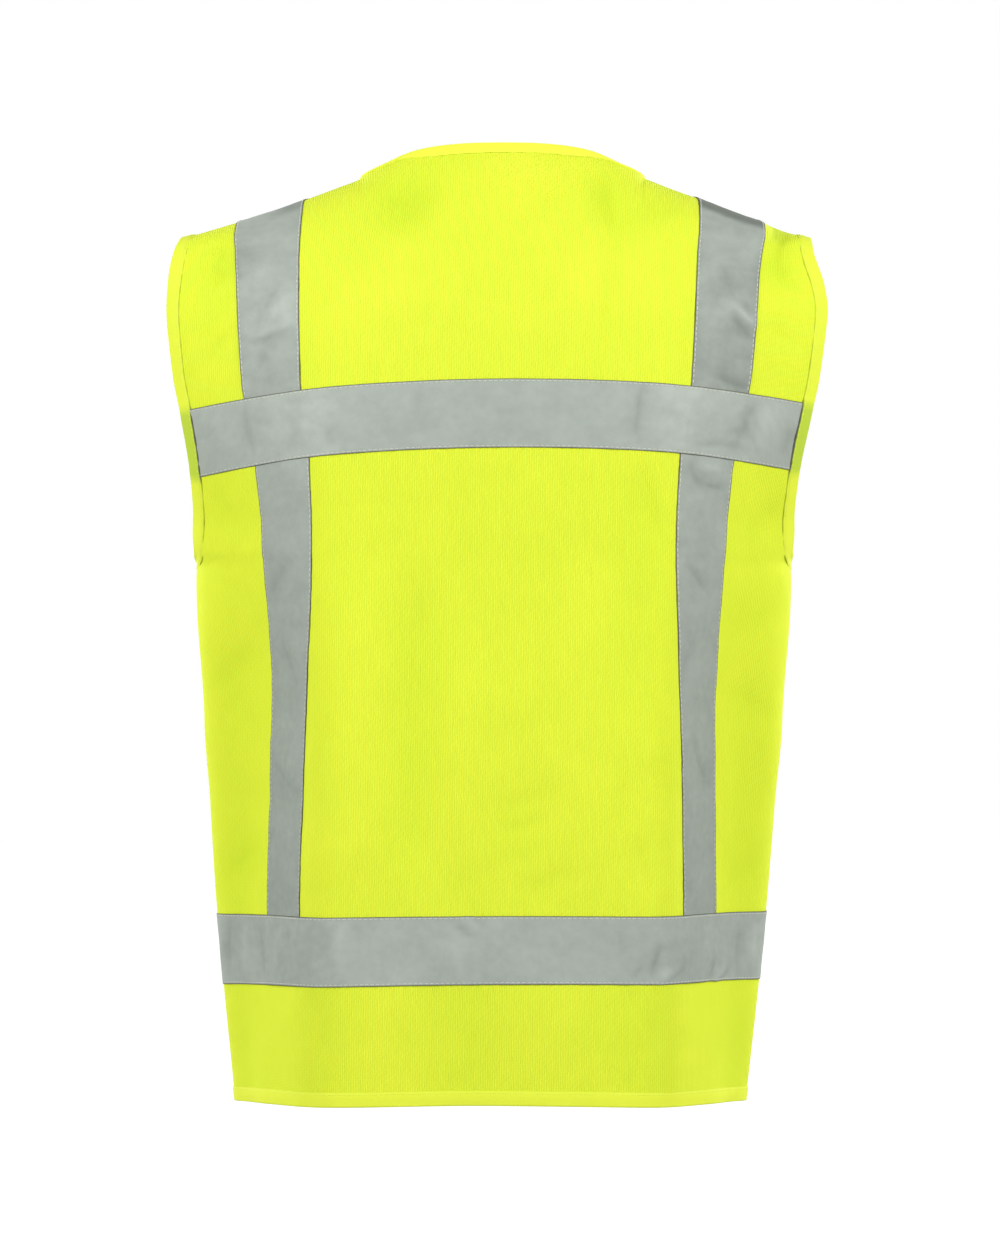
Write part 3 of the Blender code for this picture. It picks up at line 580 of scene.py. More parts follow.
def by_width(row, values, other_row):
    """Values along one edge, read at the sideways places of another."""
    old, new = np.abs(row[:, 0]), np.abs(other_row[:, 0])
    order = np.argsort(old)
    cols = [np.interp(new, old[order], values[order, k]) for k in range(values.shape[1])]
    return np.stack(cols, axis=1)


RIDGE = {
    "left": np.s_[BACK_TOP, BACK_LAST + NECK_COLUMN :],
    "right": np.s_[BACK_TOP, BACK_LAST - NECK_COLUMN :: -1],
}
SEAM = {"left": np.s_[: UNDERARM_ROW + 1, -1], "right": np.s_[: UNDERARM_ROW + 1, 0]}
OUTWARD = {"back": -1.0, "left": 1.0, "right": -1.0}


def with_normals(sheets):
    total = {name: triangle_normals(sheet.points) * OUTWARD[name] for name, sheet in sheets.items()}
    back = sheets["back"].points
    for name in ("left", "right"):
        front = sheets[name].points
        both = total["back"][SEAM[name]] + total[name][: UNDERARM_ROW + 1, -1]
        total["back"][SEAM[name]] = total[name][: UNDERARM_ROW + 1, -1] = both
        behind, before = back[RIDGE[name]], front[FRONT_TOP]
        both = unit(total["back"][RIDGE[name]]) + by_width(before, unit(total[name][FRONT_TOP]), behind)
        total["back"][RIDGE[name]] = both
        total[name][FRONT_TOP] = by_width(behind, both, before)
    return {name: sheets[name]._replace(normals=unit(total[name])) for name in sheets}


sheets = with_normals(sheets)

# %% [markdown]
# The sides turn on arcs, and an arc begins suddenly. Real cloth eases into a bend, so each
# row is smoothed a little, square to its surface only, so that the tapes' edges stay put.

# %% Eased bends
EASING_ROUNDS = 18


def with_eased_bends(sheet):
    points = sheet.points
    for _ in range(EASING_ROUNDS):
        points = softened(points, axis=1)
    moved = ((points - sheet.points) * sheet.normals).sum(-1, keepdims=True)
    fade = eased(sheet.to_top / 0.03)[..., None]
    return sheet._replace(points=sheet.points + moved * fade * sheet.normals)


bare = with_normals({name: with_eased_bends(sheet) for name, sheet in sheets.items()})

# %% [markdown]
# ## Folds and creases
#
# Knit this light hangs in long, soft folds, and pulls into short creases where something
# holds it: at the underarm, beside the neck and along the stitched tapes. They could come from
# a cloth simulation, but then they would fall anywhere. Here each one is a line on the cloth
# with a width and a depth, put where the real vest has it, and no two are alike. The CAD model
# has the long folds too, a few of them about a centimetre to one side.

# %% Long folds
# in millimetres: distance along the cloth, reach, depth, top, bottom
BACK_FOLDS = (
    (57, 17, 4, -280, -545),
    (21, 17, -2, -330, -545),
    (97, 19, -2.6, -280, -545),
    (-104, 22, 2, -190, -420),
    (-60, 24, -1.5, -260, -520),
    (124, 20, 2.2, -555, -720),
    (78, 24, -2.6, -540, -720),
    (18, 24, 2.6, -545, -720),
    (-45, 24, -1.8, -560, -720),
    (-112, 20, 2.2, -550, -720),
    (232, 22, 3, -330, -720),
    (-228, 22, 3, -350, -720),
)
FRONT_FOLDS = (
    (70, 20, 2.4, -300, -720),
    (100, 20, -2, -330, -720),
    (225, 24, 3, -340, -720),
    (-62, 20, 2.2, -340, -720),
    (-92, 20, -1.8, -310, -720),
    (-230, 24, 2.8, -320, -720),
)
FOLD_FADE = 0.070


def fade_in(height, low, high):
    return eased((height - low) / (high - low))


def long_folds(name, along, height):
    out = np.zeros(along.shape)
    folds = np.array(BACK_FOLDS if name == "back" else FRONT_FOLDS) / 1000
    for across, reach, depth, top, bottom in folds:
        bell = np.exp(-(((along - across) / reach) ** 2))
        window = 1.0 if bottom < ROWS[0][0] else fade_in(height, bottom, bottom + FOLD_FADE)
        out -= depth * bell * window * (1 - fade_in(height, top - FOLD_FADE, top))
    return out * eased((HALF_PANEL - np.abs(along)) / 0.04)


# %% [markdown]
# The short creases are drawn as strokes: from one place on the cloth to another, sharp along
# the line itself and dying away to both sides. A negative depth raises a ridge.

# %% Strokes
# in millimetres: from this distance along and height, to these, width, depth
BACK_STROKES = (
    # the shoulder blades, and dips beside the neck
    (70, -50, 74, -130, 14, -2.4),
    (85, -75, 125, -145, 26, -2),
    (-68, -50, -65, -130, 14, -2.6),
    (-105, -60, -110, -125, 22, -1.6),
    (25, 12, -50, 12, 16, -2.4),
    (-10, 5, -22, -36, 18, -1.6),
    (98, -6, 54, -44, 13, 4),
    (78, -4, 50, -30, 13, 3.2),
    (-78, 0, -87, -50, 11, 5.2),
    (-104, -18, -124, -40, 18, 2.2),
    (-90, -49, -76, -157, 5.8, 1.7),
    # pull beside the right brace
    (-107, -218, -128, -290, 7.3, 1.7),
    # wrinkles low
    (-9, -468, -38, -461, 5.1, 0.8),
    (-6, -487, -40, -477, 4.4, 1),
    (-10, -509, -46, -494, 5.1, 0.8),
    (-21, -531, -61, -515, 5.8, 0.8),
    (-107, -493, -117, -541, 5.8, 1),
    # shoulders outside the tapes
    (203, -45, 214, -86, 10, 3.6),
    (-199, -38, -224, -52, 10, 4.4),
    (-204, -55, -226, -86, 12, 3.4),
    (234, -96, 196, -68, 10.2, 1.9),
    (232, -130, 200, -90, 5.1, 1.3),
    (230, -150, 198, -114, 5.1, 1.1),
    (-235, -96, -197, -68, 10.2, 1.9),
    (-234, -133, -196, -111, 5.8, 1.1),
    # chest tape
    (-106, -162, -102, -206, 3.6, 1.2),
    (233, -201, 220, -192, 2.6, 0.5),
    (194, -180, 188, -212, 6.6, 0.9),
    (159, -213, 143, -191, 5.1, 0.6),
    (116, -207, 123, -191, 5.1, 0.6),
    (57, -164, 53, -198, 5.8, 0.5),
    (-201, -171, -188, -209, 6.6, 1.3),
    (-213, -174, -208, -211, 5.8, -0.9),
    (-236, -189, -229, -220, 5.8, 1),
    (-196, -207, -138, -207, 4.4, 0.8),
    (-157, -178, -160, -202, 5.8, 0.5),
    # right brace, top
    (-144, -218, -157, -240, 3.3, 1),
    (-151, -232, -185, -238, 3.3, 1.1),
    (-154, -221, -180, -223, 3.6, -0.9),
    # right shoulder tape
    (-166, -69, -178, -99, 5.1, 0.9),
    (-173, -107, -194, -129, 3.3, 1.4),
    (-177, -102, -197, -119, 2.9, -1.1),
    (-180, -97, -198, -109, 2.6, 0.7),
    (-164, -155, -194, -163, 3.3, 0.9),
    (-153, -24, -197, -42, 8.5, 0.4),
    # left shoulder tape
    (159, -84, 183, -122, 2.9, 0.6),
    (152, -91, 176, -126, 2.9, -0.4),
    (186, -126, 148, -114, 2.6, -0.6),
    (189, -130, 148, -121, 3.3, 0.6),
    (170, -137, 183, -154, 2.6, 0.4),
    (193, -51, 176, -69, 5.8, 0.5),
    # waist tape
    (25, -554, 15, -564, 2.6, 0.8),
    (21, -548, 9, -559, 2.6, -0.8),
    (17, -544, 3, -558, 2.2, 0.6),
    (28, -557, 19, -595, 6.6, -0.8),
    (244, -557, 251, -603, 5.1, 1),
    (224, -557, 228, -601, 4.4, -0.8),
    (208, -560, 198, -599, 4.4, 0.9),
    (107, -549, 109, -594, 5.1, -0.6),
    (122, -555, 117, -593, 5.8, 0.6),
    (-95, -549, -94, -581, 3.6, 0.5),
    (-102, -594, -110, -584, 2.2, 0.7),
    (-126, -568, -117, -595, 3.3, 1.3),
    (-123, -596, -142, -587, 2.6, -0.8),
    (-129, -597, -151, -585, 2.6, 0.8),
    (-186, -600, -196, -583, 2.6, 0.9),
    (-192, -600, -214, -590, 2.6, -0.7),
    (-200, -602, -221, -591, 2.6, 0.8),
    (-246, -561, -246, -592, 4.4, -1),
    (-231, -562, -228, -598, 5.1, 0.7),
    # braces
    (157, -289, 181, -319, 3.6, 0.6),
    (175, -347, 149, -385, 3.6, 0.6),
    (189, -438, 151, -464, 3.6, 0.6),
    (-142, -290, -171, -315, 3.6, 0.8),
    (-153, -349, -140, -384, 3.6, 0.6),
    (-158, -421, -188, -460, 3.6, 0.6),
    # flanks
    (235, -229, 202, -274, 10.2, 2),
    (258, -288, 206, -318, 8.8, 1.4),
    (255, -387, 199, -348, 10.2, 1.3),
    (252, -528, 207, -497, 10.2, 1.7),
    (-242, -243, -196, -289, 10.2, 1.8),
    (-265, -318, -203, -348, 8.8, 1.4),
    (-254, -409, -204, -385, 8.8, 1.3),
    (-251, -513, -207, -535, 8.8, 1.4),
)
FRONT_STROKES = (
    # drag from the underarm, and a slack chest
    (236, -270, 160, -214, 11, 1.8),
    (244, -292, 176, -300, 9, 1.4),
    (-238, -266, -164, -206, 10.5, 1.6),
    (-244, -296, -184, -316, 9, 1.2),
    (112, -30, 92, -130, 12, 1.5),
    (-114, -34, -88, -140, 11, 1.6),
    (70, -130, 110, -190, 10, 1),
    (-64, -140, -106, -186, 9.5, 1),
    (40, -320, 86, -372, 9, 1),
    (-46, -350, -100, -398, 9, 1),
    (52, -456, 94, -520, 8.5, 0.9),
    (-60, -468, -86, -530, 8, 0.9),
    (246, -360, 196, -436, 11, 1.5),
    (-248, -348, -200, -410, 11, 1.4),
    (60, -612, 64, -680, 11, 1.5),
    (-120, -610, -112, -680, 11, 1.4),
)


CREASE_ROUND = 0.35  # how blunt a crease is, as a share of its width


def strokes(name, along, height):
    out = np.zeros(along.shape)
    for stroke in np.array(BACK_STROKES if name == "back" else FRONT_STROKES) / 1000:
        start, end, (width, depth) = stroke[:2], stroke[2:4], stroke[4:]
        length = np.linalg.norm(end - start)
        way = (end - start) / length
        passed = (along - start[0]) * way[0] + (height - start[1]) * way[1]
        bend = 0.03 * length * np.sin(np.pi * np.clip(passed / length, 0, 1))
        aside = (along - start[0]) * -way[1] + (height - start[1]) * way[0] - bend
        taper = eased((passed / length + 0.15) / 0.50) * eased((1.15 - passed / length) / 0.60)
        out -= depth * np.exp(CREASE_ROUND - np.hypot(aside / width, CREASE_ROUND)) * taper
    return out


# %% [markdown]
# Between the drawn folds the cloth is never quite flat. A little smooth noise, made from fixed
# sums so that it is the same each time, gives that unevenness. Stitching draws the knit up
# into small puckers, which die away within a centimetre of the tape.

# %% Unevenness and puckers


def lattice(i, j, seed):
    """A fixed value from -1 to 1 for each lattice point."""
    value = np.sin(i * 127.1 + j * 311.7 + seed * 74.7) * 43758.5453
    return 2 * (value - np.floor(value)) - 1


def uneven(x, y, size, seed):
    """Smooth noise from -1 to 1 whose bumps are about as wide as size."""
    x, y = x / size, y / size
    i, j = np.floor(x), np.floor(y)
    u, v = eased(x - i), eased(y - j)
    near = lattice(i, j, seed) * (1 - u) + lattice(i + 1, j, seed) * u
    far = lattice(i, j + 1, seed) * (1 - u) + lattice(i + 1, j + 1, seed) * u
    return near * (1 - v) + far * v


PUCKER_REACH, PUCKER_PITCH, PUCKER_DEPTH = 0.007, 0.0021, 0.00016


def tape_edges(name, along, height):
    """Distance from the nearest edge of a vertical tape, outside it positive."""
    half = BACK if name == "back" else FRONT
    middle = tape_inner(half, height) + TAPE_WIDTH / 2
    return np.abs(np.abs(along) - middle) - TAPE_WIDTH / 2


def puckers(name, along, height, climbed):
    beside = np.exp(-np.abs(tape_edges(name, along, height)) / PUCKER_REACH)
    wave = np.sin(climbed / PUCKER_PITCH + 2.2 * uneven(climbed, along, 0.018, 3))
    return PUCKER_DEPTH * beside * wave * (0.6 + 0.4 * uneven(climbed, along, 0.05, 4))


# %% [markdown]
# All of this together is the relief. With it on, the whole vest is swayed and settled a little,
# since no vest hangs the same on both sides.

# %% The creased cloth
SIDE_GROOVE, SHOULDER_GROOVE, GROOVE_REACH = 0.0007, 0.0006, 0.0035
# from where, and over how far, each of these sets in
CORNER_FROM, CORNER_REACH = -0.200, 0.030
SETTLED_FROM, SETTLED_REACH = -0.090, 0.060
LEAN_INNER, LEAN_INNER_REACH = 0.112, 0.030
LEAN_OUTER, LEAN_OUTER_REACH = 0.235, 0.035
FLARE_RISE = 0.36  # how much a leaning tape rises for each metre that it leans


def relief(name, sheet):
    """How far out of the form each point of a sheet lies."""
    along, height, climbed = sheet.along, sheet.points[..., 2], sheet.climbed
    out = -sheet.fold - sheet.crease
    seed = {"back": 0, "left": 20, "right": 40}[name]
    out += 0.0009 * uneven(along, climbed, 0.085, seed) + 0.0005 * uneven(along, climbed, 0.036, seed + 1)
    out += 0.00016 * uneven(along + 0.3 * climbed, climbed, 0.015, seed + 2)
    out += puckers(name, along, height, climbed)
    out *= eased((HALF_PANEL - np.abs(along)) / 0.03) * eased(sheet.to_top / 0.03)
    if name != "back":
        side = 1 if name == "left" else -1
        out += side * FRONT_SPREAD * (1 - fade_in(side * along, SPREAD_HELD, SPREAD_GONE))
    # the side seams and the shoulder seams lie in a slight groove
    to_side = np.where(height < UNDERARM + 0.01, HALF_PANEL - np.abs(along), 1.0)
    out -= SIDE_GROOVE * np.exp(-((to_side / GROOVE_REACH) ** 2))
    out -= SHOULDER_GROOVE * np.exp(-((sheet.to_ridge / GROOVE_REACH) ** 2))
    return out


def creased(name, sheet):
    along, height = sheet.along, sheet.points[..., 2]
    fold, crease = -long_folds(name, along, height), -strokes(name, along, height)
    sheet = sheet._replace(fold=fold, crease=crease)
    points = sheet.points + sheet.normals * relief(name, sheet)[..., None]
    points[..., 0] += smooth(SWAY, points[..., 2])
    outer = eased((CORNER_FROM - points[..., 0]) / CORNER_REACH)
    points[..., 0] += outer * smooth(RIGHT_CORNER, points[..., 2])
    near_top = eased((points[..., 2] - SETTLED_FROM) / SETTLED_REACH)
    points[..., 2] -= smooth(SETTLED, points[..., 0]) * near_top
    out = np.abs(points[..., 0])
    lean = FLARE * eased((out - LEAN_INNER) / LEAN_INNER_REACH)
    lean = lean * eased((LEAN_OUTER - out) / LEAN_OUTER_REACH)
    lean = lean * (1 - eased(sheet.to_ridge / FLARE_LENGTH))
    points[..., 0] -= np.sign(points[..., 0]) * lean
    points[..., 2] += FLARE_RISE * lean
    return sheet._replace(points=points)


sheets = with_normals({name: creased(name, sheet) for name, sheet in bare.items()})
for name, sheet in sheets.items():
    print(name, "box", np.round(sheet.points.min((0, 1)), 3), np.round(sheet.points.max((0, 1)), 3))

# %% [markdown]
# ## Shader maths as plain expressions
#
# A procedural material is a small sum. `Value` wraps a socket, so that the sum can be written
# as one.

# %% Value


class Value:
    """A socket that can be added, subtracted and multiplied like a number."""

    def __init__(self, finish, socket):
        self.finish, self.socket = finish, socket

    def math(self, operation, *values):
        return self.finish.node("ShaderNodeMath", {"operation": operation}, values)

    def __add__(self, other):
        return self.math("ADD", self, other)

    def __sub__(self, other):
        return self.math("SUBTRACT", self, other)

    def __rsub__(self, other):
        return self.math("SUBTRACT", other, self)

    def __mul__(self, other):
        return self.math("MULTIPLY", self, other)

    __radd__, __rmul__ = __add__, __mul__

    def sine(self):
        return self.math("SINE", self)

    def clamped(self):
        return self.math("MINIMUM", self.math("MAXIMUM", self, 0.0), 1.0)

    def step(self, low, high):
        """0 below low, 1 above high, smooth between."""
        settings = {"interpolation_type": "SMOOTHSTEP"}
        return self.finish.node("ShaderNodeMapRange", settings, {0: self, 1: low, 2: high})


# %% [markdown]
# A `Finish` is one material. `node` makes any shader node, and `feed` joins values to the
# surface.

# %% Finish


class Finish:
    """A material, with one method that makes its nodes."""

    def __init__(self, name, **constants):
        self.material = bpy.data.materials.new(name)
        self.material.use_nodes = True
        self.tree = self.material.node_tree
        self.shader = self.tree.nodes["Principled BSDF"]
        for socket, value in constants.items():
            self.shader.inputs[socket.replace("_", " ")].default_value = value

    def node(self, kind, settings=None, inputs=(), output=0):
        made = self.tree.nodes.new(kind)
        for key, value in (settings or {}).items():
            setattr(made, key, value)
        pairs = inputs.items() if isinstance(inputs, dict) else enumerate(inputs)
        for key, value in pairs:
            if isinstance(value, Value):
                self.tree.links.new(value.socket, made.inputs[key])
            else:
                made.inputs[key].default_value = value
        return Value(self, made.outputs[output])

    def attribute(self, name, output="Fac"):
        return self.node("ShaderNodeAttribute", {"attribute_name": name}, output=output)

    def cloth(self):
        """The place on the flat cloth, in metres: along it, up it, and both as a vector."""
        vector = self.attribute("cloth", "Vector")
        apart = self.node("ShaderNodeSeparateXYZ", inputs=[vector])
        up = Value(self, apart.socket.node.outputs[1])
        return apart, up, vector

    def noise(self, vector, scale, detail=2.0):
        inputs = {"Vector": vector, "Scale": scale, "Detail": detail}
        return self.node("ShaderNodeTexNoise", inputs=inputs)

    def mix(self, factor, first, second):
        inputs = {0: factor, 6: first, 7: second}
        return self.node("ShaderNodeMix", {"data_type": "RGBA"}, inputs, output=2)

    def feed(self, **sockets):
        for name, value in sockets.items():
            self.tree.links.new(value.socket, self.shader.inputs[name.replace("_", " ")])

    def bump(self, height, distance, strength=1.0):
        inputs = {"Strength": strength, "Distance": distance, "Height": height}
        self.feed(Normal=self.node("ShaderNodeBump", inputs=inputs))


TURN = 2 * np.pi

# %% [markdown]
# ## The knit
#
# The cloth is a warp knit: fine upright ribs, called wales, about 1.7 mm apart, crossed by
# much finer rows. Both are sine waves along the cloth, read from the place on the flat cloth
# that each point of the mesh carries, so they follow the folds. The dye is fluorescent, so
# the yellow is as strong as a surface can be, and its deep tone is a little green, as its
# shadows are. The mesh also carries how deep its folds and creases are, and the knit reads
# both: its colour is painted deeper in each fold and crease, as painted shade, and lighter on
# their ridges, as painted light, standing in for light that bounces between yellow walls.

# %% Yellow knit
WALE, COURSE = 0.0017, 0.0011
KNIT_LIGHT = (0.750, 0.780, 0.046, 1.0)
# the knit's deeper tone, for its grooves and also for painted shade in folds and creases
KNIT_DEEP_AND_SHADE = (0.530, 0.685, 0.026, 1.0)


def yellow_knit():
    finish = Finish("yellow_knit", Specular_IOR_Level=0.10)
    across, up, vector = finish.cloth()
    wander = finish.noise(vector, 75.0, 3.0)
    wales = (across * (TURN / WALE) + wander * 7.0).sine() * 0.5 + 0.5
    courses = (up * (TURN / COURSE) + wales * 1.6).sine() * 0.5 + 0.5
    slant = ((across * 0.8 + up) * (TURN / 0.0042) + wander * 3.0).sine() * 0.5 + 0.5
    cloudy = finish.noise(vector, 9.0, 3.0)
    blotches = finish.noise(vector, 34.0, 2.0)
    fibres = finish.noise(vector, 1900.0, 1.0)
    # painted shade: darker in folds and creases, lighter on their ridges
    painted_fold_shade = finish.attribute("fold") * 38.0 + finish.attribute("crease") * 68.0
    deep = (1 - wales) * 0.40 + (1 - courses) * 0.05 + slant * 0.10 + cloudy * 0.28 + 0.11
    deep = deep + (blotches - 0.5) * 0.26 + painted_fold_shade
    finish.feed(Base_Color=finish.mix(deep.clamped(), KNIT_LIGHT, KNIT_DEEP_AND_SHADE))
    finish.feed(Roughness=0.74 + fibres * 0.16)
    finish.bump(wales * 0.80 + courses * 0.10 + fibres * 0.10, 0.00045, 0.8)
    return finish.material


# %% [markdown]
# ## The reflective tape
#
# The tape is a woven ribbon coated with tiny glass beads. It looks matt grey in soft light,
# with a slight metal sheen. Each crease is also painted darker and each ridge lighter, as
# painted shade and painted light. Its cut edges are painted dark: partly the open weave's own
# darker colour, partly painted shadow. `worn` says how much darker a stretch of tape is
# painted: its own tone, painted light near the shoulder seams and painted shade just behind
# them, darker towards the bottom of the braces, and painted shade on the waist tapes over
# the braces.

# %% Silver tape
TAPE_LIGHT = (0.394, 0.428, 0.378, 1.0)
# the tape's deeper grey, for its own mottling and also for painted shade
TAPE_DEEP_AND_SHADE = (0.185, 0.208, 0.181, 1.0)
# the dark of the cut edges, partly their own colour and partly painted shadow; also the darkest painted
# shade
TAPE_EDGE_AND_SHADOW = (0.095, 0.092, 0.060, 1.0)


def silver_tape():
    finish = Finish("silver_tape", Metallic=0.15, Specular_IOR_Level=0.3)
    across, up, vector = finish.cloth()
    beads = finish.noise(vector, 2600.0, 1.0)
    weave = ((across + up) * (TURN / 0.0016)).sine() * ((across - up) * (TURN / 0.0016)).sine()
    rubbed = finish.noise(vector, 42.0, 3.0)
    streaks = finish.noise(vector, 150.0, 3.0)
    # painted shade in folds and creases, painted light on their ridges
    painted_fold_shade = finish.attribute("fold") * 24.0 + finish.attribute("crease") * 250.0
    deep = rubbed * 0.38 + streaks * 0.30 + beads * 0.12 + weave * 0.02 - 0.065
    deep = deep + painted_fold_shade + finish.attribute("worn")
    grey = finish.mix(deep.clamped(), TAPE_LIGHT, TAPE_DEEP_AND_SHADE)
    # where the painted shade goes past the deep grey, as just behind the shoulder seams, it darkens on
    # towards the edge colour
    grey = finish.mix((deep - 1).clamped(), grey, TAPE_EDGE_AND_SHADOW)
    # a thin dark band along the cut edges: partly their own colour, partly painted shadow
    edge = finish.attribute("edge")
    dark = 1 - edge.step(0.00030, 0.00070)
    finish.feed(Base_Color=finish.mix(dark, grey, TAPE_EDGE_AND_SHADOW))
    finish.feed(Roughness=0.52 + rubbed * 0.18 + dark * 0.2)
    finish.bump(beads * 0.5 + weave * 0.3 + streaks * 0.2, 0.00012, 0.45)
    return finish.material


# %% [markdown]
# ## The binding, the thread and the fastener
#
# The edges are bound with a bias strip, woven on a slant and a little brighter than the knit.
# Where it wraps the end of a tape, the grey shines through and makes it greener. Along its
# inner edge a darker line is painted: painted shadow of the binding's edge, darker still over
# a tape. `plain` and `line` say, for each binding, how far its colour goes back towards the
# knit's, and how dark that painted shadow is.

# %% Yellow binding, thread and fastener
BINDING_LIGHT = (0.790, 0.830, 0.060, 1.0)
BINDING_DEEP = (0.680, 0.770, 0.040, 1.0)
BINDING_PLAIN = (0.640, 0.715, 0.042, 1.0)
BINDING_OVER_TAPE = (0.370, 0.510, 0.045, 1.0)
# the painted shadow along a binding's inner edge
BINDING_EDGE_SHADOW = (0.330, 0.400, 0.022, 1.0)
THREAD = (0.590, 0.595, 0.520, 1.0)
THREAD_YELLOW = (0.700, 0.800, 0.080, 1.0)
FASTENER = (0.600, 0.760, 0.060, 1.0)


def yellow_binding():
    finish = Finish("yellow_binding", Specular_IOR_Level=0.15)
    across, up, vector = finish.cloth()
    twill = ((across + up * 1.6) * (TURN / 0.0026)).sine() * 0.5 + 0.5
    cloudy = finish.noise(vector, 40.0, 3.0)
    deep = (twill * 0.35 + cloudy * 0.5 - 0.1).clamped()
    over_tape = finish.attribute("over_tape")
    plain = finish.mix(deep, BINDING_LIGHT, BINDING_DEEP)
    plain = finish.mix(finish.attribute("plain"), plain, BINDING_PLAIN)
    tinted = finish.mix(over_tape * (0.62 + twill * 0.38), plain, BINDING_OVER_TAPE)
    # painted shadow along the inner edge, stronger where the binding lies over a tape
    edge_shadow = (up + over_tape * 0.0007).step(BINDING_WIDTH - 0.0009, BINDING_WIDTH - 0.0002)
    edge_shadow = edge_shadow * (finish.attribute("line") + over_tape * 0.46).clamped()
    line = finish.mix(over_tape, BINDING_EDGE_SHADOW, TAPE_EDGE_AND_SHADOW)
    finish.feed(Base_Color=finish.mix(edge_shadow, tinted, line))
    finish.feed(Roughness=0.58 + cloudy * 0.2)
    finish.bump(twill * 0.7 + cloudy * 0.3, 0.00015, 0.5)
    return finish.material


def thread(name, colour):
    finish = Finish(name, Roughness=0.6, Specular_IOR_Level=0.2)
    twist = finish.noise(finish.node("ShaderNodeTexCoord", output="Object"), 1500.0, 1.0)
    darker = tuple(0.75 * c for c in colour[:3]) + (1.0,)
    finish.feed(Base_Color=finish.mix(twist, colour, darker))
    finish.bump(twist, 0.0001, 0.5)
    return finish.material


def fastener():
    finish = Finish("yellow_fastener", Roughness=0.9, Specular_IOR_Level=0.1)
    across, up, vector = finish.cloth()
    loops = finish.noise(vector, 1100.0, 2.0)
    rows = (across * (TURN / 0.0018)).sine() * (up * (TURN / 0.0018)).sine() * 0.5 + 0.5
    paler = tuple(1.15 * c for c in FASTENER[:3]) + (1.0,)
    finish.feed(Base_Color=finish.mix(loops, FASTENER, paler))
    finish.bump(rows * 0.6 + loops * 0.4, 0.0004, 0.8)
    return finish.material


KNIT, TAPE, BINDING, HOOKS = yellow_knit(), silver_tape(), yellow_binding(), fastener()
TAPE_THREAD, YELLOW_THREAD = thread("grey_thread", THREAD), thread("yellow_thread", THREAD_YELLOW)
print("finishes:", ", ".join(m.name for m in bpy.data.materials if m.users or m.use_nodes))

# %% [markdown]
# ## From a sheet to a mesh
#
# `shell` makes cloth with a real thickness: an outer skin, an inner skin and a rim between
# them. Each point also carries its place on the flat cloth and how deep the folds are there,
# which the materials read. A tape's points carry their distance from its cut edges as well.

# %% Shells
made = {}


def add_mesh(name, points, faces, finish, attributes):
    mesh = bpy.data.meshes.new(name)
    mesh.from_pydata(points.tolist(), [], faces.tolist() if hasattr(faces, "tolist") else faces)
    for key, values in attributes.items():
        kind = "FLOAT_VECTOR" if np.ndim(values) == 2 else "FLOAT"
        layer = mesh.attributes.new(key, kind, "POINT")
        layer.data.foreach_set("vector" if np.ndim(values) == 2 else "value", np.ravel(values))
    mesh.materials.append(finish)
    mesh.shade_smooth()
    mesh.set_sharp_from_angle(angle=np.radians(50))
    piece = bpy.data.objects.new(name, mesh)
    bpy.context.scene.collection.objects.link(piece)
    made[name] = piece
    return piece


def grid_faces(rows, cols):
    index = np.arange(rows * cols).reshape(rows, cols)
    return np.stack([index[:-1, :-1], index[:-1, 1:], index[1:, 1:], index[1:, :-1]], -1).reshape(-1, 4)


def shell(name, sheet, inner, outer, finish, **attributes):
    """The cloth between two heights above a sheet; either may change from place to place."""
    rows, cols = sheet.points.shape[:2]
    count = rows * cols
    inner, outer = (np.broadcast_to(h, (rows, cols))[..., None] for h in (inner, outer))
    above = (sheet.points + sheet.normals * outer).reshape(-1, 3)
    below = (sheet.points + sheet.normals * inner).reshape(-1, 3)
    faces = grid_faces(rows, cols)
    middle = (rows // 2, cols // 2)
    a, b = sheet.points[middle[0] + 1, middle[1]], sheet.points[middle[0], middle[1] + 1]
    facing = np.cross(b - sheet.points[middle], a - sheet.points[middle]) @ sheet.normals[middle]
    if facing < 0:
        faces = faces[:, ::-1]
    index = np.arange(count).reshape(rows, cols)
    rim = np.concatenate([index[0], index[1:, -1], index[-1, -2::-1], index[-2:0:-1, 0]])
    after = np.roll(rim, -1)
    if facing < 0:
        rim, after = after, rim
    sides = np.stack([rim, rim + count, after + count, after], -1)
    faces = np.concatenate([faces, faces[:, ::-1] + count, sides])
    place = np.stack([sheet.along, sheet.climbed, np.zeros((rows, cols))], -1).reshape(-1, 3)
    layers = {"cloth": np.concatenate([place, place])}
    attributes.update(fold=sheet.fold, crease=sheet.crease)
    for key, values in attributes.items():
        values = np.broadcast_to(values, (rows, cols)).ravel()
        layers[key] = np.concatenate([values, values])
    return add_mesh(name, np.concatenate([above, below]), faces, finish, layers)


def cut(sheet, rows, cols):
    """Part of a sheet between two rows and two columns, both included."""
    cols = cols if cols[0] < cols[1] else (cols[1], cols[0])
    part = slice(rows[0], rows[1] + 1), slice(cols[0], cols[1] + 1)
    return Sheet(*(values[part] for values in sheet))


# %% [markdown]
# ## The panels
#
# The back is one panel from armhole to armhole. The left front overlaps the right one, as on
# most vests of this kind, and stands a hair further out there.

# %% Panels
CLOTH_LOW, CLOTH_HIGH = 0.0001, 0.0011
PANELS = {"back": "back_panel_cloth", "left": "front_left_cloth", "right": "front_right_cloth"}
for name, piece in PANELS.items():
    shell(piece, sheets[name], CLOTH_LOW, CLOTH_HIGH, KNIT)
    print(piece, len(made[piece].data.polygons), "faces")

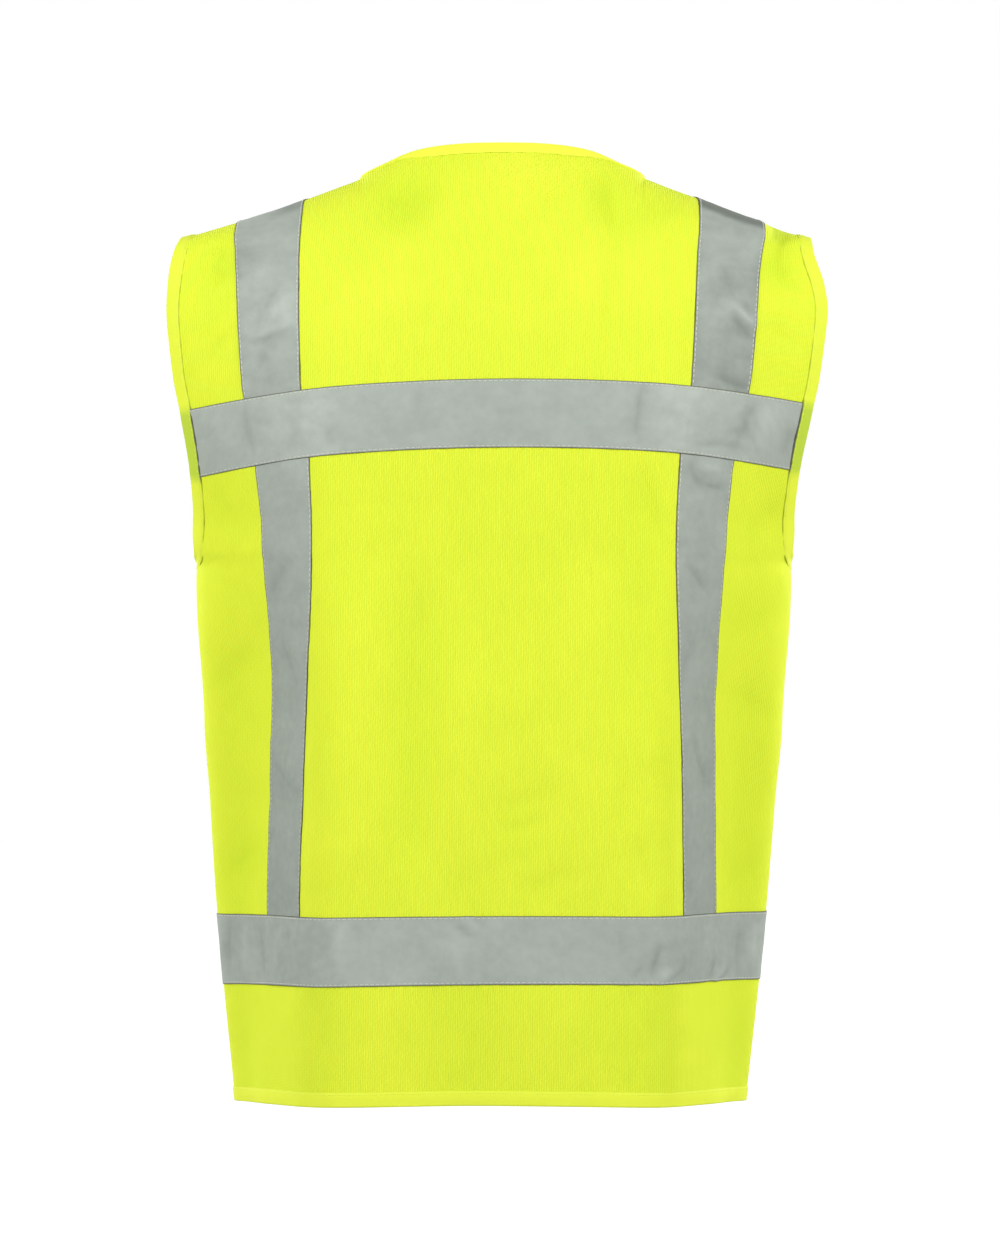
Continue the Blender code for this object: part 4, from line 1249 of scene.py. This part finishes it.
# %% [markdown]
# ## The tapes
#
# The upright tapes are sewn on first and the bands over them. Under a band, the upright tape
# lifts it a little, which is why a faint square shows where they cross. Each tape is a patch
# of the panel's own rows and columns, so it follows every fold that it is sewn to. The coated
# tape creases more sharply than the knit, so its patch gets twice the rows and columns first.

# %% Finer patches


def between(values, axis):
    """The same values with one more between each two, on a smooth curve."""
    v = np.moveaxis(values, axis, 0)
    middle = (9 * (v[1:-2] + v[2:-1]) - v[:-3] - v[3:]) / 16
    first, last = (3 * v[0] + 6 * v[1] - v[2]) / 8, (3 * v[-1] + 6 * v[-2] - v[-3]) / 8
    out = np.empty((2 * len(v) - 1,) + v.shape[1:])
    out[::2] = v
    out[1::2] = np.concatenate([first[None], middle, last[None]])
    return np.moveaxis(out, 0, axis)


def patch(name, rows, cols):
    """A finer part of a panel, with its folds."""
    part = cut(bare[name], rows, cols)
    part = Sheet(*(between(between(values, 0), 1) for values in part))
    part = creased(name, part._replace(normals=unit(part.normals)))
    return part._replace(normals=unit(triangle_normals(part.points)) * OUTWARD[name])


# %% Heights over the cloth
TAPE_LOW, TAPE_HIGH = 0.00105, 0.00165
LIFT = 0.0004


def crossing(sheet, name):
    """1 over an upright tape, 0 beside it."""
    outside = tape_edges(name, sheet.along, sheet.points[..., 2])
    return 1 - eased(outside / 0.0050 + 0.5)


def long_edges(sheet, axis):
    """Distance from the nearer long edge of a tape, measured along an axis of its grid."""
    steps = np.linalg.norm(np.diff(sheet.points, axis=axis), axis=-1)
    passed = np.cumsum(steps, axis=axis)
    passed = np.concatenate([np.zeros_like(np.take(passed, [0], axis)), passed], axis=axis)
    return np.minimum(passed, np.take(passed, [-1], axis) - passed)


def crinkled(sheet, seed):
    fine = 0.00008 * uneven(sheet.climbed, sheet.along, 0.005, seed + 1)
    return 0.00022 * uneven(sheet.along, sheet.climbed, 0.012, seed) + fine


def tape(piece, sheet, axis, seed, over=0.0, worn=0.0):
    """A tape on a patch; it keeps its upper surface for the stitches."""
    lift = LIFT * over + crinkled(sheet, seed)
    shell(f"{piece}_ribbon", sheet, TAPE_LOW + LIFT * over, TAPE_HIGH + lift, TAPE,
          edge=long_edges(sheet, axis), worn=worn)
    top = sheet.points + sheet.normals * (TAPE_HIGH + lift)[..., None]
    tape_tops[piece] = (sheet._replace(points=top), axis)


# %% Bands round the chest and the waist
TUCK = 2
tape_tops = {}
whole = BACK_LAST * 2
FIRST = {"left": 3, "right": FRONT_LINES.cells[0] + FRONT_LINES.cells[1]}
CHEST_FRONT = (FRONT_CHEST_LOW, FRONT_CHEST_HIGH)
# piece, panel, rows, columns, seed
BANDS = (
    ("chest_tape_back", "back", (CHEST_LOW, CHEST_HIGH), (1, whole - 1), 60),
    ("waist_tape_back", "back", (WAIST_LOW, WAIST_HIGH), (0, whole), 62),
    ("chest_tape_front_left", "left", CHEST_FRONT, (FIRST["left"], FRONT_LAST - 1), 64),
    ("waist_tape_front_left", "left", (WAIST_LOW, WAIST_HIGH), (FIRST["left"], FRONT_LAST), 66),
    ("chest_tape_front_right", "right", CHEST_FRONT, (FIRST["right"], FRONT_LAST - 1), 68),
    ("waist_tape_front_right", "right", (WAIST_LOW, WAIST_HIGH), (FIRST["right"], FRONT_LAST), 70),
)
for piece, panel, rows, cols, seed in BANDS:
    sheet = patch(panel, rows, cols)
    # the waist tapes are painted darker over the braces: painted shade
    darkening = 0.22 * np.exp(-(((np.abs(sheet.along) - 0.168) / 0.032) ** 2)) * piece.startswith("waist")
    tape(piece, sheet, 0, seed, crossing(sheet, panel), darkening)

# %% [markdown]
# A shoulder tape runs from the back's chest band over the shoulder to the front's. Its two
# parts meet on the ridge, where the back and the front have the same edge, so they are joined
# into one sheet there.

# %% Upright tapes


def back_cols(side, cols):
    """Columns counted from the centre of the back out to one side."""
    if side == "left":
        return BACK_LAST + cols[0], BACK_LAST + cols[1]
    return BACK_LAST - cols[1], BACK_LAST - cols[0]


def over_shoulder(behind, before):
    """Two patches that share their top row, as one that goes up and over."""
    joined = [np.concatenate([a, b[-2::-1]]) for a, b in zip(behind, before)]
    climbed = np.concatenate([behind.climbed, 2 * behind.climbed[-1:] - before.climbed[-2::-1]])
    return Sheet(*joined)._replace(climbed=climbed)


# how much darker the tape is painted, how much lighter near the shoulder seam (painted light), how much
# darker just behind it (painted shade)
SHOULDER_TONE_AND_LIGHT = {"left": (0.26, 0.52, 0.625), "right": (0.45, 0.85, 1.25)}
LIGHTER_REACH, SHADE_AT, SHADE_REACH = 0.075, 0.021, 0.025
SHADE_INNER, SHADE_INNER_REACH = 0.155, 0.014


def worn_shoulder(sheet, ridge, side):
    """How much darker a shoulder tape is painted from place to place: painted light near the seam, painted
    shade just behind it.
    """
    darkening, lighter, darker = SHOULDER_TONE_AND_LIGHT[side]
    from_ridge = sheet.climbed[ridge] - sheet.climbed
    near_seam = np.exp(-((from_ridge / LIGHTER_REACH) ** 2))
    shade = np.exp(-(((from_ridge - SHADE_AT) / SHADE_REACH) ** 6))
    if side == "left":  # there only along its inner edge
        shade = shade * np.exp(-((np.abs(sheet.along) - SHADE_INNER) / SHADE_INNER_REACH) ** 2)
    return darkening - lighter * near_seam + darker * shade


for side, seed in (("left", 80), ("right", 90)):
    behind = patch("back", (CHEST_HIGH - TUCK, BACK_TOP), back_cols(side, BACK_TAPE))
    if side == "right":
        behind = Sheet(*(values[:, ::-1] for values in behind))
    before = patch(side, (FRONT_CHEST_HIGH - TUCK, FRONT_TOP), FRONT_TAPE)
    shoulder = over_shoulder(behind, before)
    ridge = len(behind.points) - 1
    shoulder.normals[ridge] = unit(shoulder.normals[ridge - 1] + shoulder.normals[ridge + 1])
    tape(f"shoulder_tape_{side}", shoulder, 1, seed, worn=worn_shoulder(shoulder, ridge, side))
    for where, panel, cols, high in (
        ("back", "back", back_cols(side, BACK_TAPE), CHEST_LOW),
        ("front", side, FRONT_TAPE, FRONT_CHEST_LOW),
    ):
        brace = patch(panel, (WAIST_HIGH - TUCK, high + TUCK), cols)
        climb = (brace.climbed - brace.climbed[0]) / (brace.climbed[-1] - brace.climbed[0])
        # the braces are painted darker towards the bottom
        tape(f"brace_tape_{where}_{side}", brace, 1, seed + 3, worn=0.34 - 0.24 * climb)
print("tapes:", len(tape_tops))

# %% [markdown]
# ## The bindings
#
# A binding is folded over the cut edge and stitched through. It is drawn as a ring of points
# carried along the edge: over the outside, round the fold and back under the inside. Its
# inner line is found by walking square to the edge and dropping onto the cloth. Beside the
# neck the binding rolls over the ridge to the front, so only a thin edge of it shows there.

# %% The cut edges


def surface(*names):
    points, faces, first = [], [], 0
    for name in names:
        grid = sheets[name].points
        points.append(grid.reshape(-1, 3))
        faces.append(grid_faces(*grid.shape[:2]) + first)
        first += grid.shape[0] * grid.shape[1]
    return BVHTree.FromPolygons(np.concatenate(points).tolist(), np.concatenate(faces).tolist())


CLOTH_OF = {side: surface("back", side) for side in ("left", "right")}


class Edge(NamedTuple):
    """A cut edge of the cloth: points, normals, which cloth it is on, whether over a tape."""

    points: np.ndarray
    normals: np.ndarray
    sides: list
    over: np.ndarray


def joined_edges(*edges):
    return Edge(
        np.concatenate([e.points for e in edges]),
        np.concatenate([e.normals for e in edges]),
        [side for e in edges for side in e.sides],
        np.concatenate([e.over for e in edges]),
    )


def edge_of(name, index, side, *bands):
    """An edge of a panel; bands are the (low, high) rows of the tapes that it crosses."""
    sheet = sheets[name]
    points, normals = sheet.points[index], sheet.normals[index]
    over = np.zeros(len(points))
    rows = np.arange(sheet.points.shape[0])[index[0]]
    for low, high in bands:
        over = over + eased((rows - low) / 1.5 + 0.5) * eased((high - rows) / 1.5 + 0.5)
    return Edge(points, normals, [side] * len(points), over)


def part_of(edge, first=None, last=None, step=None):
    return Edge(*(values[first:last:step] for values in edge))


def backwards(edge):
    return part_of(edge, step=-1)


# %% [markdown]
# The grid's points lie closer together at some places than at others. A binding needs them at
# equal distances, so each edge is read again at even steps.

# %% Even steps along an edge


def read_at(wanted, passed, values):
    """Points or normals of a line at the wanted distances along it."""
    return np.stack([np.interp(wanted, passed, values[:, k]) for k in range(3)], 1)


def evened(edge, step, closed):
    """The same edge with points at equal distances, smoothed a little."""
    points, normals, sides, over = joined_edges(edge, part_of(edge, 0, 1)) if closed else edge
    passed = distance_along(points)
    count = int(round(passed[-1] / step))
    wanted = np.linspace(0, passed[-1], count + 1)[: count if closed else count + 1]
    nearest = np.searchsorted(passed, wanted).clip(0, len(passed) - 1)
    return Edge(read_at(wanted, passed, points), unit(read_at(wanted, passed, normals)),
                [sides[k] for k in nearest], np.interp(wanted, passed, over))


def tangents(points, closed):
    if closed:
        return unit(np.roll(points, -1, axis=0) - np.roll(points, 1, axis=0))
    return unit(np.gradient(points, axis=0))


# %% [markdown]
# From each point of the edge a strip of cloth is walked, square to the edge and as wide as
# the binding. The nearest point of the cloth is taken at each step, so the strip follows it.

# %% The strip of cloth beside an edge
STEPS_IN, SOFTENING_ROUNDS = 5, 4


def towards_cloth(edge, into, reach=0.006):
    """1 if the cloth lies on the side that into points to, -1 if on the other."""
    gap = [0.0, 0.0]
    for point, way, side in zip(edge.points, into, edge.sides):
        for k, sign in enumerate((1, -1)):
            gap[k] += CLOTH_OF[side].find_nearest(Vector(point + sign * reach * way))[3]
    return 1 if gap[0] < gap[1] else -1


def strip_rows(edge, closed, width):
    """Rows of points on the cloth, from the edge (first) to the binding's inner line."""
    along = tangents(edge.points, closed)
    into = unit(np.cross(edge.normals, along))
    into = into * towards_cloth(edge, into)
    rows = [edge.points]
    for k in range(1, STEPS_IN + 1):
        row = []
        for point, way, side in zip(edge.points, into, edge.sides):
            target = Vector(point + way * (width * k / STEPS_IN))
            row.append(CLOTH_OF[side].find_nearest(target)[0])
        row = np.array(row, float)
        for _ in range(SOFTENING_ROUNDS):
            row = softened(row, closed)
        rows.append(row)
    return np.stack(rows), into


def strip_normals(rows, edge, closed):
    down = np.gradient(rows, axis=0)
    along = np.stack([tangents(row, closed) for row in rows])
    normals = unit(np.cross(along, down))
    flip = np.sign((normals * edge.normals).sum(-1, keepdims=True))
    normals = unit(normals * flip)
    for _ in range(2):
        normals = unit(softened(normals, closed, axis=1))
    return normals


# %% [markdown]
# Round that strip the binding is laid. Its upper side is slightly domed and ripples where the
# stitches pull it, and it rides a little higher where it passes over the end of a tape.

# %% The folded strip
BINDING_HIGH, BINDING_UNDER, FOLD_OUT = 0.0021, -0.0007, 0.0013
CROWN, CROWN_FOOT, INNER_LOW = 0.0004, 0.0003, 0.0007
FOLD_POINTS = 5
RING_STEP = 0.004  # from one ring of points to the next
STITCH_SUNK = 0.0002  # how far the stitches are drawn into the binding
SUNK_STITCHES = 0.0014  # how much further they sink where the binding rolls over
STITCH_RIPPLE, SOFT_RIPPLE = 0.00018, 0.00025
CURL_HEIGHT, CURL_REACH, CURL = -0.268, 0.016, 0.0034
# how much of the neck binding's width rolls over, and between which places from front to back
ROLLED, ROLL_BACK, ROLL_FRONT = 0.85, (0.056, 0.068), (-0.016, 0.010)


def rolled_over(points):
    """1 where the neck binding rolls over the ridge to the front, and 0 elsewhere."""
    depth = points[:, 1]
    return (1 - fade_in(depth, *ROLL_BACK)) * fade_in(depth, *ROLL_FRONT)


def ring_faces(count, size, closed):
    """The faces between rings of points, with a cap at each end unless the strip is closed."""
    faces = []
    for a in range(count if closed else count - 1):
        b = (a + 1) % count
        faces += [(a * size + j, a * size + (j + 1) % size, b * size + (j + 1) % size, b * size + j)
                  for j in range(size)]
    if not closed:
        faces += [tuple(range(size))[::-1], tuple(range((count - 1) * size, count * size))]
    return faces


def turn_outwards(piece):
    shape = bmesh.new()
    shape.from_mesh(piece.data)
    if shape.calc_volume(signed=True) < 0:
        bmesh.ops.reverse_faces(shape, faces=shape.faces)
    shape.to_mesh(piece.data)
    shape.free()


def binding_rings(edge, rows, normals, into, ripple):
    """Rings of points round the fold, and how far from the cut edge each point of a ring is."""
    share = np.linspace(0, 1, STEPS_IN + 1)
    rings, places = [], []
    for k in range(STEPS_IN, -1, -1):
        crown = CROWN * np.sin(np.pi * min(share[k] * 0.86 + 0.1, 1.0))
        high = BINDING_HIGH - CROWN_FOOT + crown + ripple * (0.3 + share[k]) + LIFT * edge.over
        if k == STEPS_IN:
            rings.append(rows[k] + normals[k] * INNER_LOW)
            places.append(share[k] * BINDING_WIDTH)
            high = high - CROWN_FOOT
        rings.append(rows[k] + normals[k] * high[:, None])
        places.append(share[k] * BINDING_WIDTH)
    top = BINDING_HIGH + LIFT * edge.over
    middle, reach = (top + BINDING_UNDER) / 2, (top - BINDING_UNDER) / 2
    for k in range(1, FOLD_POINTS + 1):
        angle = np.pi * k / (FOLD_POINTS + 1)
        rise = (middle + reach * np.cos(angle))[:, None] * normals[0]
        rings.append(rows[0] + rise - into * FOLD_OUT * np.sin(angle))
        places.append(-FOLD_OUT * np.sin(angle))
    for k in range(STEPS_IN + 1):
        rings.append(rows[k] + normals[k] * BINDING_UNDER)
        places.append(share[k] * BINDING_WIDTH)
    return np.stack(rings, axis=1), places


def bind(piece, edge, seed, closed=False, curl=0.0, plain=0.0, line=0.46):
    """A folded strip round an edge; gives back the line where it is stitched."""
    edge = evened(edge, RING_STEP, closed)
    rows, into = strip_rows(edge, closed, BINDING_WIDTH)
    curled = curl * np.exp(-(((edge.points[:, 2] - CURL_HEIGHT) / CURL_REACH) ** 2))
    rows[0] -= into * curled[:, None]
    rows[1] -= into * curled[:, None] * 0.5
    normals = strip_normals(rows, edge, closed)
    passed = np.arange(len(edge.points)) * RING_STEP
    rolled = rolled_over(edge.points) * ("neck" in piece)
    rows = rows[0] + (rows - rows[0]) * (1 - ROLLED * rolled)[:, None]
    ripple = STITCH_RIPPLE * np.sin(passed / 0.0019 + 3 * uneven(passed, 0 * passed, 0.02, seed + 5))
    ripple += SOFT_RIPPLE * uneven(passed, 0 * passed + seed, 0.017, seed)
    rings, places = binding_rings(edge, rows, normals, into, ripple)
    count, size = rings.shape[:2]
    points = rings.reshape(-1, 3)
    place = np.stack([np.repeat(passed, size), np.tile(places, count), np.zeros(count * size)], -1)
    # line: how dark the painted shadow along the inner edge is; none where the neck binding rolls over
    looks = {"over_tape": np.repeat(edge.over, size), "plain": np.full(len(points), plain),
             "line": np.repeat(line * (1 - rolled), size)}
    faces = ring_faces(count, size, closed)
    turn_outwards(add_mesh(piece, points, faces, BINDING, {"cloth": place, **looks}))
    k = STEPS_IN - 1  # the row that is stitched
    high = BINDING_HIGH - STITCH_SUNK + ripple * (0.3 + k / STEPS_IN) + LIFT * edge.over
    high -= SUNK_STITCHES * rolled
    return rows[k] + normals[k] * high[:, None], normals[k]


# %% [markdown]
# The armholes and the neck are bound across the shoulder seam, so their edges are joined from
# the back's and the fronts' first. The hem is joined from all three panels.

# %% Armhole, neck and hem bindings
stitched = {}
for side in ("left", "right"):
    column = -1 if side == "left" else 0
    up = edge_of("back", np.s_[UNDERARM_ROW : BACK_TOP + 1, column], side, (CHEST_LOW, CHEST_HIGH))
    down = backwards(edge_of(side, np.s_[UNDERARM_ROW : FRONT_TOP + 1, -1], side,
                             (FRONT_CHEST_LOW, FRONT_CHEST_HIGH)))
    whole_edge = joined_edges(up, part_of(down, 1, -1))
    stitched[f"armhole_binding_{side}"] = bind(
        f"armhole_{side}_tape_fold", whole_edge, closed=True,
        seed=7 if side == "left" else 11, curl=CURL, plain=1.0, line=0.70)

neck_parts = []
for side, cols in (("right", slice(BACK_LAST - NECK_COLUMN, BACK_LAST + 1)),
                   ("left", slice(BACK_LAST, BACK_LAST + NECK_COLUMN + 1))):
    front = edge_of(side, np.s_[HEM_FLANGE : FRONT_TOP + 1, 0], side,
                    (WAIST_LOW, WAIST_HIGH), (FRONT_CHEST_LOW, FRONT_CHEST_HIGH))
    nape = edge_of("back", np.s_[BACK_TOP, cols], side)
    if side == "right":
        neck_parts += [front, part_of(nape, 1)]
    else:
        neck_parts += [part_of(nape, 1, -1), backwards(front)]
stitched["neck_binding"] = bind("neck_fold", joined_edges(*neck_parts), seed=17)

hem_left = edge_of("left", np.s_[HEM, :], "left")
hem_right = edge_of("right", np.s_[HEM, :], "right")
hem_back = edge_of("back", np.s_[HEM, :], "left")
sides = ["right"] * BACK_LAST + ["left"] * (BACK_LAST + 1)
hem_back = hem_back._replace(sides=sides)
stitched["hem_binding"] = bind(
    "hem_fold", joined_edges(hem_right, part_of(hem_back, 1, -1), backwards(hem_left)), seed=23,
    plain=0.85, line=0.30)
for name, (points, _) in stitched.items():
    print(name, "is stitched for", round(float(distance_along(points)[-1]), 2), "m")

# %% [markdown]
# ## The closure
#
# The fronts close with a hook-and-loop fastener: the loops are sewn under the left front and
# the hooks on the right one. It stays shut, as in the photograph's filled-out vest.

# %% Hook and loop strips
first, second = FRONT_LINES.cells[0], FRONT_LINES.cells[0] + FRONT_LINES.cells[1]
for side, piece, low, high in (("left", "loop_strip_pile", -0.0011, -0.0002),
                               ("right", "hook_strip_pile", 0.0014, 0.0023)):
    strip = cut(sheets[side], (HEM_FLANGE, FRONT_CHEST_HIGH), (first, second))
    shell(piece, strip, low, high, HOOKS)

# %% [markdown]
# ## The stitches
#
# Every tape and binding is held by a row of lockstitches, about 4 mm long. Each stitch is a
# small rounded bead of thread that dips into the cloth at both ends, and all the stitches of a
# seam are one mesh.

# %% Stitching
STITCH, THREAD_RADIUS = 0.0039, 0.00030
SECTION = 5
# along the stitch, how thick, how high: both ends dip into the cloth
STITCH_FORM = ((-0.38, 0.5, -1.0), (-0.30, 1.0, 0.2), (0.30, 1.0, 0.2), (0.38, 0.5, -1.0))


def stitches(piece, lines, finish):
    """Stitches along lines of (points, normals)."""
    turn = np.linspace(0, TURN, SECTION, endpoint=False)
    ring = np.stack([np.zeros(SECTION), np.cos(turn), np.sin(turn)], -1) * THREAD_RADIUS
    shape = []
    for x, size, rise in STITCH_FORM:
        shape.append(ring * size + np.array([x * STITCH, 0.0, rise * THREAD_RADIUS]))
    faces = ring_faces(len(shape), SECTION, closed=False)
    shape = np.concatenate(shape)
    points, all_faces = [], []
    for line, normals in lines:
        passed = distance_along(line)
        count = max(int(passed[-1] / STITCH), 1)
        wanted = (np.arange(count) + 0.5) * passed[-1] / count
        middle, up = read_at(wanted, passed, line), unit(read_at(wanted, passed, normals))
        way = unit(read_at(wanted + 0.0008, passed, line) - read_at(wanted - 0.0008, passed, line))
        aside = unit(np.cross(up, way))
        up = np.cross(way, aside)
        placed = (middle[:, None] + shape[None, :, :1] * way[:, None]
                  + shape[None, :, 1:2] * aside[:, None] + shape[None, :, 2:] * up[:, None])
        for k in range(count):
            first = len(points) * len(shape)
            points.append(placed[k])
            all_faces += [tuple(first + i for i in face) for face in faces]
    turn_outwards(add_mesh(piece, np.concatenate(points), all_faces, finish, {}))


def inset_lines(sheet, axis, distance=0.0015):
    """The two stitch lines of a tape, a little inside its long edges."""
    lines = []
    if axis == 1:  # the ends of an upright tape are tucked under the bands
        sheet = Sheet(*(values[2 * TUCK + 1 : -2 * TUCK - 1] for values in sheet))
    for edge, inside in ((0, 1), (-1, -2)):
        rim, inner = (np.take(sheet.points, k, axis) for k in (edge, inside))
        up = np.take(sheet.normals, edge, axis)
        way = inner - rim
        lines.append((rim + way * distance / np.linalg.norm(way, axis=-1, keepdims=True), up))
    return lines


for name, (top, axis) in tape_tops.items():
    stitches(f"{name}_stitches", inset_lines(top, axis), TAPE_THREAD)
for name, line in stitched.items():
    stitches(f"{name}_stitches", [line], YELLOW_THREAD)
print("stitch meshes:", len(tape_tops) + len(stitched))

# %% [markdown]
# ## Telling the frame what each piece is
#
# Each piece takes the place of its CAD solid and rides on the vest's one body.

# %% Rides and replacements
REPLACED = {
    "back_panel_cloth": "back_panel",
    "front_left_cloth": "front_panel_left",
    "front_right_cloth": "front_panel_right",
    "armhole_left_tape_fold": "armhole_binding_left",
    "armhole_right_tape_fold": "armhole_binding_right",
    "neck_fold": "neck_binding",
    "hem_fold": "hem_binding",
    "loop_strip_pile": "loop_strip",
    "hook_strip_pile": "hook_strip",
}
REPLACED.update({f"{name}_ribbon": name for name in tape_tops})
for name, piece in made.items():
    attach(piece, "root")
    if name in REPLACED:
        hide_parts(REPLACED[name])


# %% [markdown]
# ## Floor, light and camera
#
# The photograph has a white ground and soft light from both sides. The world gives the even
# part. It is seen white by the camera, but lights the cloth at two fifths of that strength, so
# that four soft lamps, two behind the vest and two before it, still model the folds, as studio
# lamps do in front of a lit backdrop.

# %% Floor
FLOOR, FLOOR_HALF = -1.30, 15.0
corners = [(x * FLOOR_HALF, y * FLOOR_HALF, FLOOR) for x, y in ((-1, -1), (1, -1), (1, 1), (-1, 1))]
floor_mesh = bpy.data.meshes.new("floor")
floor_mesh.from_pydata(corners, [], [(0, 1, 2, 3)])
floor = bpy.data.objects.new("floor", floor_mesh)
bpy.context.scene.collection.objects.link(floor)
pale = Finish("pale_floor", Base_Color=(0.62, 0.62, 0.62, 1.0), Roughness=0.9)
pale.shader.inputs["Emission Color"].default_value = (1.0, 1.0, 1.0, 1.0)
pale.feed(Emission_Strength=pale.node("ShaderNodeLightPath") * 0.85)
floor_mesh.materials.append(pale.material)

# %% World
FILL = (0.38, 0.40, 0.41, 1.0)
world = bpy.data.worlds.new("white_studio")
world.use_nodes = True
nodes, links = world.node_tree.nodes, world.node_tree.links
ground = nodes["Background"]
seen = nodes.new("ShaderNodeLightPath")
white = nodes.new("ShaderNodeMix")
white.data_type = "RGBA"
white.inputs[6].default_value = FILL
white.inputs[7].default_value = (1.0, 1.0, 1.0, 1.0)
links.new(seen.outputs["Is Camera Ray"], white.inputs[0])
links.new(white.outputs[2], ground.inputs["Color"])
bpy.context.scene.world = world

# %% Lamps


def soft_light(name, place, target, size, power):
    light = bpy.data.lights.new(name, "AREA")
    light.shape, light.size, light.energy = "SQUARE", size, power
    lamp = bpy.data.objects.new(name, light)
    lamp.location = place
    lamp.rotation_euler = (Vector(target) - Vector(place)).to_track_quat("-Z", "Y").to_euler()
    bpy.context.scene.collection.objects.link(lamp)


CENTRE = (0.0, 0.0, -0.34)
# side of the vest, place, size, power
LAMPS = (
    ("back_left", (1.48, 1.16, 0.46), 0.9, 32.0),
    ("back_right", (-1.48, 1.16, 0.46), 0.9, 33.0),
    ("front_left", (1.30, -1.35, 0.25), 0.9, 24.0),
    ("front_right", (-1.30, -1.35, 0.25), 0.9, 27.0),
)
for name, place, size, power in LAMPS:
    soft_light(name, place, CENTRE, size, power)

# %% [markdown]
# The camera stands level with the middle of the vest, three metres behind it, with a long
# lens, so the bands curve only slightly. `Standard` keeps the colours as they are computed.

# %% Camera
camera_data = bpy.data.cameras.new("camera")
camera_data.sensor_width, camera_data.lens = 36.0, 118.97
camera = bpy.data.objects.new("camera", camera_data)
camera.location = (-0.0025, 3.130, -0.337)
camera.rotation_euler = (np.pi / 2, 0.0, np.pi)
bpy.context.scene.collection.objects.link(camera)
bpy.context.scene.camera = camera
bpy.context.scene.view_settings.view_transform = "Standard"
